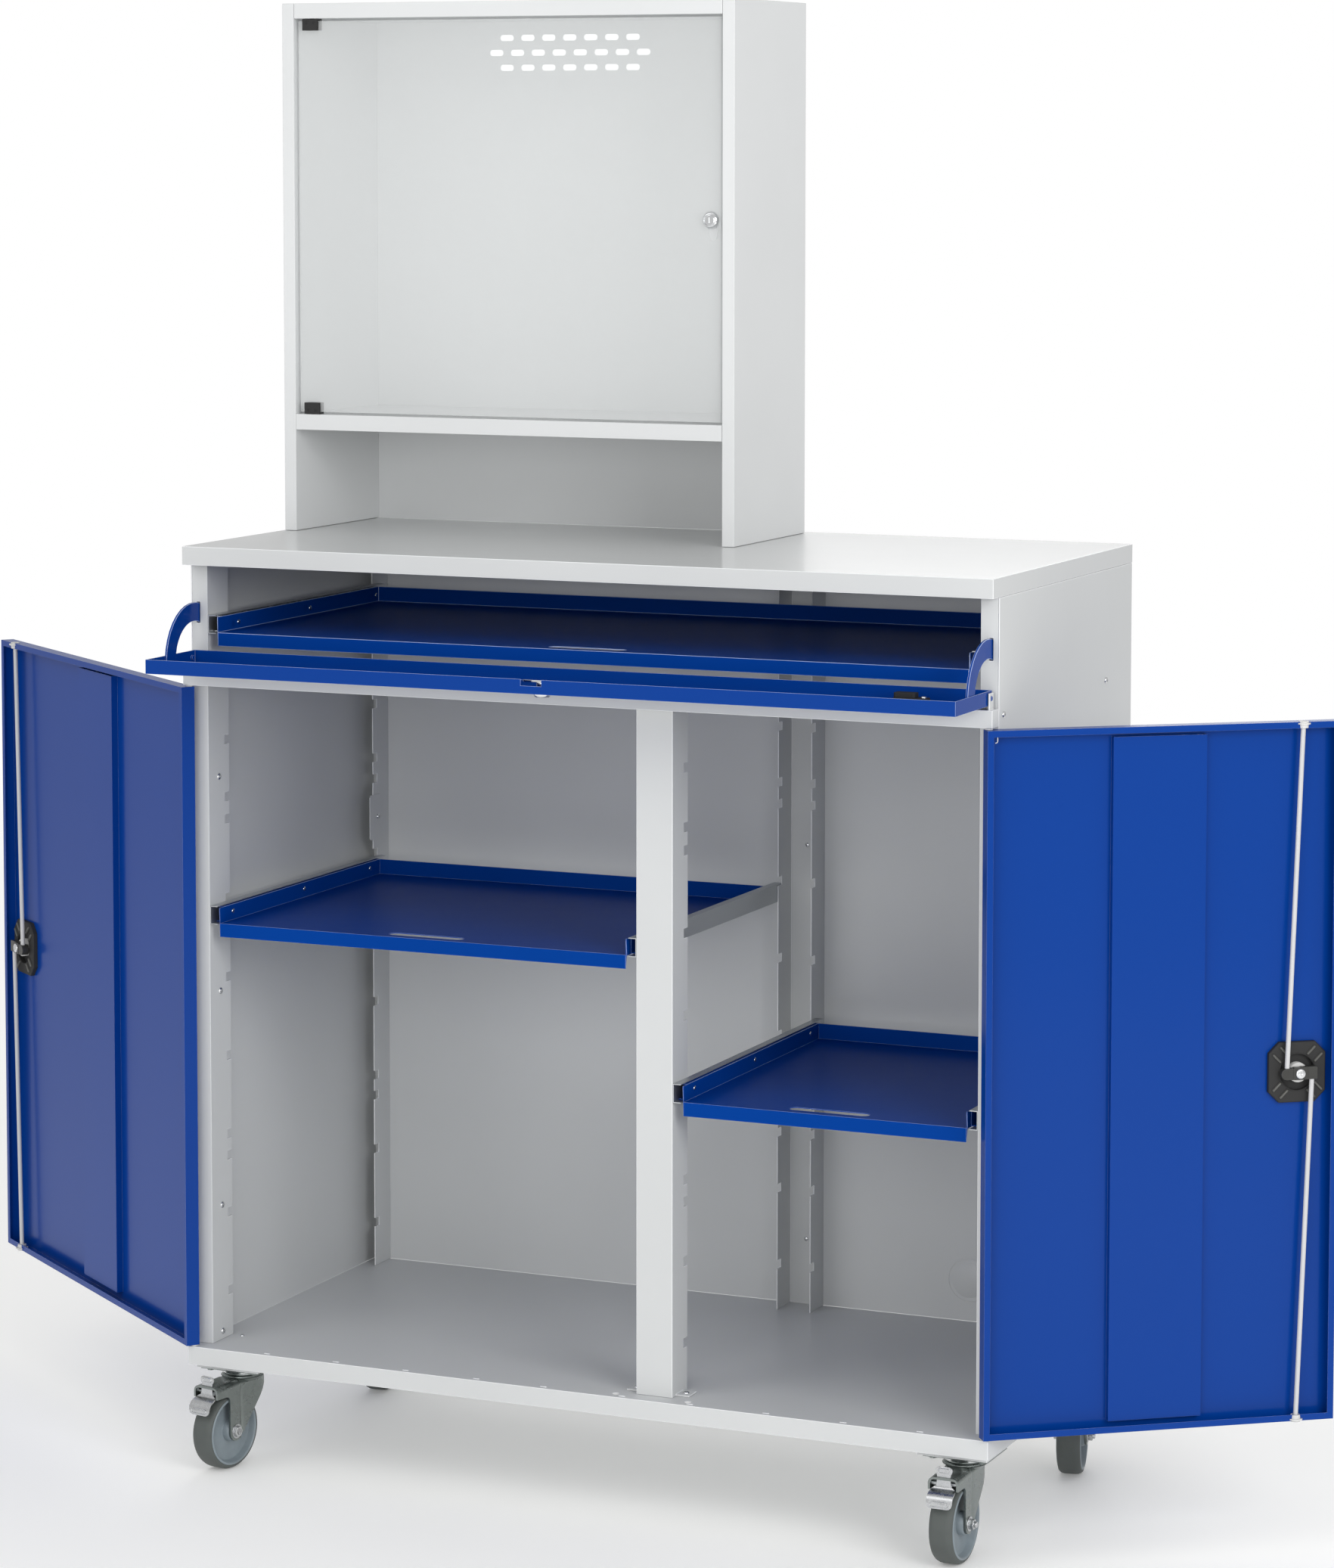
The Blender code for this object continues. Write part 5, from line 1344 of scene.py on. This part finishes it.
    def build_lever(self) -> None:
        """Black lever whose arms hold the rods' ends, its white boss and its screw."""
        body = self.name + "_handle"
        low, face, top = self.lever_low, self.lever_face, self.lever_face + self.hub_rise
        lever = Shape(self.at)
        shift_x, shift_y = self.arm_shift
        lever.prism([(x + shift_x, y + shift_y) for x, y in stadium(*self.arm_size)], low, face)
        lever.prism(chamfered(*self.tail_half, self.tail_cut), low, face - self.tail_drop,
                    Matrix.Translation((*self.tail_shift, 0)))
        lever.prism(chamfered(*self.hub_half, self.hub_cut), low, top)
        lever.finish(self.name + "_lever", WORN_BLACK, body, self.lever_edge)
        boss = Shape(self.at)
        floor = self.case_face - self.recess_depth + 0.0003
        r = self.boss_radius
        boss.turned([(r, floor), (r, low + 0.0020), (r - 0.0006, low + 0.0028)], 36)
        boss.finish(self.name + "_boss", NYLON, body)
        screw = Shape(self.at)
        screw.screw(Matrix.Translation((0, 0, top)), *self.lever_screw)
        screw.finish(self.name + "_lever_screw", BRIGHT_ZINC, body)

    def build_handle(self) -> None:
        """Black turning handle outside: round rose and a waisted grip on the spindle."""
        shape = Shape(self.at)
        face, r = self.outside - self.rose_gap, self.rose_radius
        rose = [(r, face), (r, face - 0.0022), (0.94 * r, face - 0.0040), (0.70 * r, face - 0.0050),
                (0.60 * r, face - 0.0056)]
        shape.turned(rose, 40)
        top = face - 0.005 - self.grip_height
        levels = ((face - 0.0040, 0.86, 1.10), (face - 0.0100, 0.92, 0.92), (face - 0.0180, 0.98, 0.88),
                  (top + 0.0030, 1.0, 0.94), (top + 0.0008, 0.98, 0.80), (top, 0.93, 0.55))
        outline = stadium(self.grip_length, self.grip_width, 10)
        shape.stack([shape.row([(x * a, y * b, z) for x, y in outline]) for z, a, b in levels])
        shape.turned([(self.spindle_radius, face), (self.spindle_radius, self.lever_low)], 20)
        shape.finish(self.name + "_grip", BLACK, self.name + "_handle", self.grip_edge,
                     replaces=[self.name + "_handle"])

    def build_bushes(self) -> None:
        """White guide bushes where the rods pass the lips, and white washers on the hinge pins."""
        shape = Shape()
        for word, sign in (("upper", 1), ("lower", -1)):
            points = [vert.co for vert in NODES[f"{self.name}_{word}_rod"].data.vertices]
            end = max(point.z * sign for point in points)
            tip = [point for point in points if end - point.z * sign < self.rod_tip]
            centre = sum(tip, Vector()) / len(tip)
            lip = end * sign + sign * self.lip_gap
            shape.turned(self.bush, 28, facing((centre.x, centre.y, lip), (0, 0, sign)), hollow=True)
            at = facing((self.hinge.x, self.hinge.y, lip), (0, 0, sign))
            shape.turned(self.washer, 24, at, hollow=True)
        shape.finish(self.name + "_bushes", NYLON, self.name)

    def build_hook(self) -> None:
        """White hook of the upper hinge pin, in the corner of the folded lips."""
        _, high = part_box(self.name)
        x, y, z = self.hook_place
        corner = ((self.hinge - self.lock).dot(self.along) + x, high.z + y - self.lock.z, z)
        shape = Shape(self.at)
        path = [(a, b, 0) for a, b in self.hook_path]
        shape.wire(path, self.hook_wire, Matrix.Translation(corner))
        shape.finish(self.name + "_pin_hook", NYLON, self.name)


@dataclass
class Caster:
    """Swivel caster: plate with bolts, pressed fork, rubber-tyred wheel and, in front, a brake lever.

    Its frame stands on the ground under the swivel axis, with X along the axle.
    """

    name: str
    braked: bool
    nut_side: int
    plate_edge: float = 0.0008
    plate_gauge: float = 0.003
    bolt: Pair = (0.0050, 0.0030)
    bolt_place: Pair = (0.032, 0.026)
    race: Profile = ((0.0236, -0.0004), (0.0282, -0.0004), (0.0288, -0.0016), (0.0272, -0.0052),
                     (0.0236, -0.0060))
    tread: float = 0.0500
    half_width: float = 0.0160
    # Depth below the tread and distance in from the wheel's face
    tyre_wall: Profile = ((0.0060, 0.0014), (0.0048, 0.0008), (0.0032, 0.0012), (0.0016, 0.0030),
                          (0.0003, 0.0062), (0.0, 0.0095))
    # Radius and distance in from the wheel's face
    rim_face: Profile = ((0.0064, -0.0004), (0.0128, -0.0004), (0.0138, 0.0008), (0.0148, 0.0082),
                         (0.0170, 0.0092), (0.0365, 0.0096), (0.0388, 0.0086), (0.0400, 0.0062),
                         (0.0410, 0.0014), (0.0416, 0.0004), (0.0426, -0.0001), (0.0438, 0.0002),
                         (0.0446, 0.0012))
    axle_height: float = 0.050
    trail: float = 0.035
    fork_half: float = 0.0183
    fork_gauge: float = 0.0028
    fork_edge: float = 0.0005
    fork_back: float = 0.0245
    fork_nose: float = 0.0735
    taper_start: float = 0.010
    taper_reach: float = 0.024
    crown_radius: float = 0.0262
    crown_low: float = 0.1105
    crown_top: float = 0.1184
    hood_top: float = 0.1146
    hood_nose: float = 0.1128
    hood_start: float = 0.026
    nose_foot: float = 0.0988
    back_rise: float = 0.002
    boss_radius: float = 0.0125
    boss_turn: float = math.radians(48)
    boss_end: float = -0.0266
    corner: float = 0.0075
    shoulder: float = 0.006
    axle_edge: float = 0.0003
    # Number of sides and profile of each turned form
    nut: TurnedForms = ((28, ((0.0092, 0), (0.0092, 0.0010), (0.0086, 0.0014))),
                        (6, ((0.0066, 0.0014), (0.0068, 0.0020), (0.0068, 0.0064), (0.0058, 0.0070))),
                        (18, ((0.0040, 0.0070), (0.0040, 0.0094), (0.0033, 0.0102))))
    axle_head: TurnedForms = ((28, ((0.0094, 0), (0.0094, 0.0008))),
                              (6, ((0.0074, 0.0008), (0.0074, 0.0038), (0.0062, 0.0044))),
                              (18, ((0.0044, 0.0044), (0.0040, 0.0040))))
    lever_gauge: float = 0.0018
    lever_edge: float = 0.0004
    # Forward place, height and half width of the brake lever's sheet, from its tab down to its foot
    lever_run: Sequence[Triple] = (
        (0.0690, 0.1264, 0.0062), (0.0694, 0.1261, 0.0086), (0.0698, 0.1250, 0.0102),
        (0.0700, 0.1225, 0.0108), (0.0700, 0.1196, 0.0104), (0.0700, 0.1178, 0.0092),
        (0.0700, 0.1150, 0.0088), (0.0702, 0.1060, 0.0092), (0.0705, 0.1025, 0.0104),
        (0.0715, 0.1003, 0.0140), (0.0740, 0.0984, 0.0160), (0.0790, 0.0966, 0.0166),
        (0.0832, 0.0940, 0.0166), (0.0858, 0.0900, 0.0166), (0.0868, 0.0855, 0.0164),
        (0.0870, 0.0822, 0.0152), (0.0869, 0.0806, 0.0132), (0.0868, 0.0799, 0.0100))
    lever_spans: tuple[float, ...] = (-1.0, -0.9, -0.45, 0.0, 0.45, 0.9, 1.0)
    tab_bead: Triple = (0.0150, 0.0064, 0.0006)
    tab_bead_place: Triple = (0, -0.0708, 0.1222)
    foot_bead: Triple = (0.0250, 0.0070, 0.0006)
    foot_bead_place: Triple = (0, -0.0877, 0.0852)
    foot_lean: float = 0.12
    pin: Profile = ((0.0018, -0.0188), (0.0025, -0.0182), (0.0025, 0.0182), (0.0018, 0.0188))
    pin_block_low: Triple = (-0.0085, -0.0062, -0.0032)
    pin_block_high: Triple = (0.0085, 0.0036, 0.0032)

    def __post_init__(self) -> None:
        """Find the frames of the fork and of the wheel."""
        swivel = joint_point(self.name + "_swivel")
        axle = joint_axis(self.name + "_roll")
        self.at = with_axes(axle, UP.cross(axle), UP, (swivel.x, swivel.y, 0))
        self.wheel_at = facing(joint_point(self.name + "_roll"), axle)

    def build(self) -> None:
        """Dress the plate and build wheel, fork and brake lever."""
        dress(self.name + "_plate", FORK_ZINC, self.plate_edge)
        self.build_bolts()
        self.build_wheel()
        self.build_fork()
        self.build_crown()
        self.build_axle_ends()
        if self.braked:
            self.build_lever()
            self.build_lever_beads()
            self.build_lever_pin()

    def build_bolts(self) -> None:
        """Four plate bolts and the upper ring of the ball race."""
        low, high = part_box(self.name + "_plate")
        middle = (low + high) / 2
        under = high.z - self.plate_gauge
        bolts, race = Shape(), Shape()
        x, y = self.bolt_place
        for dx in (-x, x):
            for dy in (-y, y):
                bolts.hex_head(facing((middle.x + dx, middle.y + dy, under), (0, 0, -1)), *self.bolt)
        bolts.finish(self.name + "_bolts", FORK_ZINC, "cabinet")
        race.turned(self.race, 40, Matrix.Translation((middle.x, middle.y, under)), hollow=True)
        race.finish(self.name + "_race", BRIGHT_ZINC, "cabinet")

    def build_wheel(self) -> None:
        """Rubber tyre in place of the CAD wheel, and its plastic rim."""
        body = self.name + "_wheel"
        tyre = Shape(self.wheel_at)
        wall = [(self.tread - depth, self.half_width - inset) for depth, inset in self.tyre_wall]
        tyre.turned(both_faces(wall), 72, hollow=True)
        tyre.finish(self.name + "_tyre", TYRE, body, replaces=[self.name + "_wheel"])
        rim = Shape(self.wheel_at)
        face = [(radius, self.half_width - inset) for radius, inset in self.rim_face]
        rim.turned(both_faces(face), 60, hollow=True)
        rim.finish(self.name + "_rim", RIM, body)

    def leg_foot(self, y: float) -> float:
        """Height of the fork leg's lower edge.

        Args:
            y: place along the frame's Y axis, negative on the wheel's side of the swivel.

        Returns:
            The height above the ground.
        """
        forward = y + self.trail
        front = -self.boss_radius
        if forward <= front - self.corner:
            return self.nose_foot
        if forward < front - 0.0001:
            run = forward - front + self.corner
            return self.nose_foot - self.corner + math.sqrt(self.corner ** 2 - run ** 2)
        turn = self.boss_radius * math.cos(self.boss_turn)
        if forward <= turn:
            return self.axle_height - math.sqrt(max(self.boss_radius ** 2 - forward ** 2, 0.0))
        start = self.axle_height - self.boss_radius * math.sin(self.boss_turn)
        share = (forward - turn) / (self.trail + self.fork_back - turn)
        return start + (self.nose_foot + self.back_rise - start) * share

    def hood(self, y: float) -> float:
        """Height of the fork's top at a place along the frame's Y axis."""
        share = min(max((-y - self.hood_start) / (self.fork_nose - self.hood_start), 0.0), 1.0)
        return self.hood_top + (self.hood_nose - self.hood_top) * share

    def section(self, y: float) -> list[Point]:
        """Cross-section of the pressed fork.

        Args:
            y: place along the frame's Y axis, negative on the wheel's side of the swivel.

        Returns:
            Points from the left leg's foot over the top to the right leg's foot.
        """
        half, top, foot = self.fork_half, self.hood(y), self.leg_foot(y)
        if y > self.taper_start:
            half *= math.sqrt(max(1 - ((y - self.taper_start) / self.taper_reach) ** 2, 0.1))
        r = self.shoulder
        leg = [(half, y, foot + (top - r - foot) * i / 4) for i in range(4)]
        bend = [(half - r + r * math.cos(a), y, top - r + r * math.sin(a))
                for a in (math.radians(22.5 * i) for i in range(5))]
        right = leg + bend
        return [(-x, b, c) for x, b, c in right] + right[::-1]

    def build_fork(self) -> None:
        """Pressed fork with rounded shoulders in place of the CAD fork."""
        front = -self.trail - self.boss_radius
        bend = front - self.corner
        nose = -self.fork_nose if self.braked else bend
        places = [nose + (bend - nose) * i / 4 for i in range(4)] if self.braked else []
        places += [bend + self.corner * math.sin(math.radians(angle)) for angle in range(0, 90, 15)]
        places += [-self.trail + self.boss_radius * math.sin(math.radians(15 * i)) for i in range(-6, 4)]
        places += [self.boss_end + (self.fork_back - self.boss_end) * i / 9 for i in range(10)]
        shape = Shape(self.at)
        shape.skin([self.section(y) for y in places])
        shape.finish(self.name + "_fork_sheet", FORK_ZINC, self.name + "_fork", self.fork_edge,
                     self.fork_gauge, [self.name + "_fork"])

    def build_crown(self) -> None:
        """Crown of the fork, round the lower ring of the ball race."""
        crown = Shape(self.at)
        r, low, top = self.crown_radius, self.crown_low, self.crown_top
        profile = [(r - 0.004, low), (r + 0.0016, low + 0.0050), (r + 0.0004, low + 0.0054),
                   (r, low + 0.0060), (r, top - 0.0012), (r - 0.0008, top - 0.0004), (r - 0.0024, top)]
        crown.turned(profile, 48)
        crown.finish(self.name + "_crown", FORK_ZINC, self.name + "_fork")

    def build_axle_ends(self) -> None:
        """Head of the axle bolt on one leg of the fork, nut and thread on the other."""
        axle = Shape(self.at)
        outer = self.fork_half + self.fork_gauge / 2
        for sign in (-1, 1):
            at = facing((sign * outer, -self.trail, self.axle_height), (sign, 0, 0))
            for steps, profile in (self.nut if sign == self.nut_side else self.axle_head):
                axle.turned(profile, steps, at)
        axle.finish(self.name + "_axle_ends", PRESSED_ZINC, self.name + "_fork", self.axle_edge)

    def build_lever(self) -> None:
        """Brake lever in the fork's nose: release tab, web and foot pad in one sheet."""
        shape = Shape(self.at)
        shape.skin([[(half * span, -y, z) for span in self.lever_spans] for y, z, half in self.lever_run])
        shape.finish(self.name + "_brake_lever", PRESSED_ZINC, self.name + "_pedal", self.lever_edge,
                     self.lever_gauge, [self.name + "_pedal"])

    def build_lever_beads(self) -> None:
        """Raised beads on the brake lever's tab and foot pad."""
        beads = Shape(self.at)
        beads.bead(*self.tab_bead, facing(self.tab_bead_place, (0, -1, 0)))
        beads.bead(*self.foot_bead, facing(self.foot_bead_place, (0, -1, self.foot_lean)))
        beads.finish(self.name + "_brake_beads", PRESSED_ZINC, self.name + "_pedal")

    def build_lever_pin(self) -> None:
        """Pin that the brake lever turns on, and the block that it runs through."""
        pin = Shape(self.at)
        place = self.at.inverted() @ joint_point(self.name + "_brake")
        pin.turned(self.pin, 20, facing(place, (1, 0, 0)))
        pin.block(self.pin_block_low, self.pin_block_high, Matrix.Translation((0, place.y, place.z)))
        pin.finish(self.name + "_brake_pin", ZINC, self.name + "_pedal", self.lever_edge)


@dataclass(frozen=True)
class SoftLight:
    """A large square light: where it stands, what it points at, its side and its watts."""

    name: str
    place: Triple
    aim: Triple
    size: float
    power: float

    def build(self) -> None:
        """Hang the light."""
        data = bpy.data.lights.new(self.name, "AREA")
        data.size = self.size
        data.energy = self.power
        light = add_object(self.name, data)
        light.location = self.place
        light.rotation_euler = (Vector(self.aim) - Vector(self.place)).to_track_quat("-Z", "Y").to_euler()


@dataclass
class Studio:
    """Pale floor, soft light and the photograph's camera."""

    camera_place: Triple = (2.4712, -5.3623, 1.7151)
    yaw: float = 23.732
    pitch: float = 4.81
    roll: float = -0.033
    lens: float = 106.34
    sensor: float = 36.0
    shift: float = -0.16
    farthest: float = 200.0
    floor_radius: float = 30.0
    floor_tone: Colour = (0.90, 0.90, 0.89)
    floor_roughness: float = 0.7
    floor_mottle: float = 0.006
    floor_bump: Pair = (0.02, 0.0005)
    floor_lift: float = 0.14
    surroundings: float = 0.62
    lights: tuple[SoftLight, ...] = (
        SoftLight("key_light", (-2.0, -3.2, 3.6), (0.0, -0.2, 0.9), 2.2, 24),
        SoftLight("right_fill", (3.6, -2.4, 2.3), (0.2, 0.0, 0.9), 2.2, 76),
        SoftLight("front_fill", (0.8, -5.0, 1.4), (0.1, 0.0, 0.8), 2.4, 52),
        SoftLight("top_light", (0.3, 0.2, 4.4), (0.1, 0.0, 1.0), 2.6, 6),
        SoftLight("back_light", (-1.2, 4.6, 3.0), (0.0, 0.2, 1.0), 2.6, 40),
    )

    def build(self) -> None:
        """Build floor, light and camera."""
        self.build_floor()
        self.build_surroundings()
        for light in self.lights:
            light.build()
        self.build_camera()
        bpy.context.scene.view_settings.view_transform = "Standard"

    def build_floor(self) -> None:
        """Large pale floor disc that fades into the white surroundings."""
        material, tree, shader, place = start_material("pale_floor")
        skin = POWDER_SKIN.place(tree, Vector=place, Colour=(*self.floor_tone, 1),
                                 Roughness=self.floor_roughness, Mottle=self.floor_mottle)
        feed_shader(tree, shader, skin, *self.floor_bump)
        shader.inputs["Emission Color"].default_value = (1, 1, 1, 1)
        shader.inputs["Emission Strength"].default_value = self.floor_lift
        tree.links.new(FLOOR_FADE.place(tree, Vector=place).outputs["Alpha"], shader.inputs["Alpha"])
        disc = bmesh.new()
        bmesh.ops.create_circle(disc, cap_ends=True, radius=self.floor_radius, segments=96)
        mesh = bpy.data.meshes.new("studio_floor")
        disc.to_mesh(mesh)
        disc.free()
        mesh.materials.append(material)
        add_object("studio_floor", mesh)

    def build_surroundings(self) -> None:
        """Surroundings that are white to the eye and light the cabinet more softly."""
        world = bpy.data.worlds.new("white_studio")
        world.use_nodes = True
        tree = world.node_tree
        seen = tree.nodes.new("ShaderNodeLightPath").outputs["Is Camera Ray"]
        background = tree.nodes["Background"]
        background.inputs["Color"].default_value = (1, 1, 1, 1)
        tree.links.new(spread(tree, seen, (0, 1), (self.surroundings, 1.0)), background.inputs["Strength"])
        bpy.context.scene.world = world

    def build_camera(self) -> None:
        """Camera fitted to the photograph's edges."""
        data = bpy.data.cameras.new("photo_camera")
        data.lens = self.lens
        data.sensor_width = self.sensor
        data.shift_y = self.shift
        data.clip_end = self.farthest
        camera = add_object("photo_camera", data)
        camera.location = self.camera_place
        camera.rotation_euler = [math.radians(turn) for turn in (90 - self.pitch, self.roll, self.yaw)]
        bpy.context.scene.camera = camera


def main() -> None:
    """Build the cabinet's looks piece by piece, then the studio."""
    logging.basicConfig(level=logging.INFO, format="%(name)s: %(message)s")
    Carcass().build()
    ScreenHousing().build()
    Pullouts().build()
    Flap().build()
    for side in Side:
        Door(side).build()
    for row, braked in (("front", True), ("rear", False)):
        for side in Side:
            Caster(f"{row}_{side.word}_caster", braked, side.value).build()
    Studio().build()


if __name__ == "__main__":
    main()
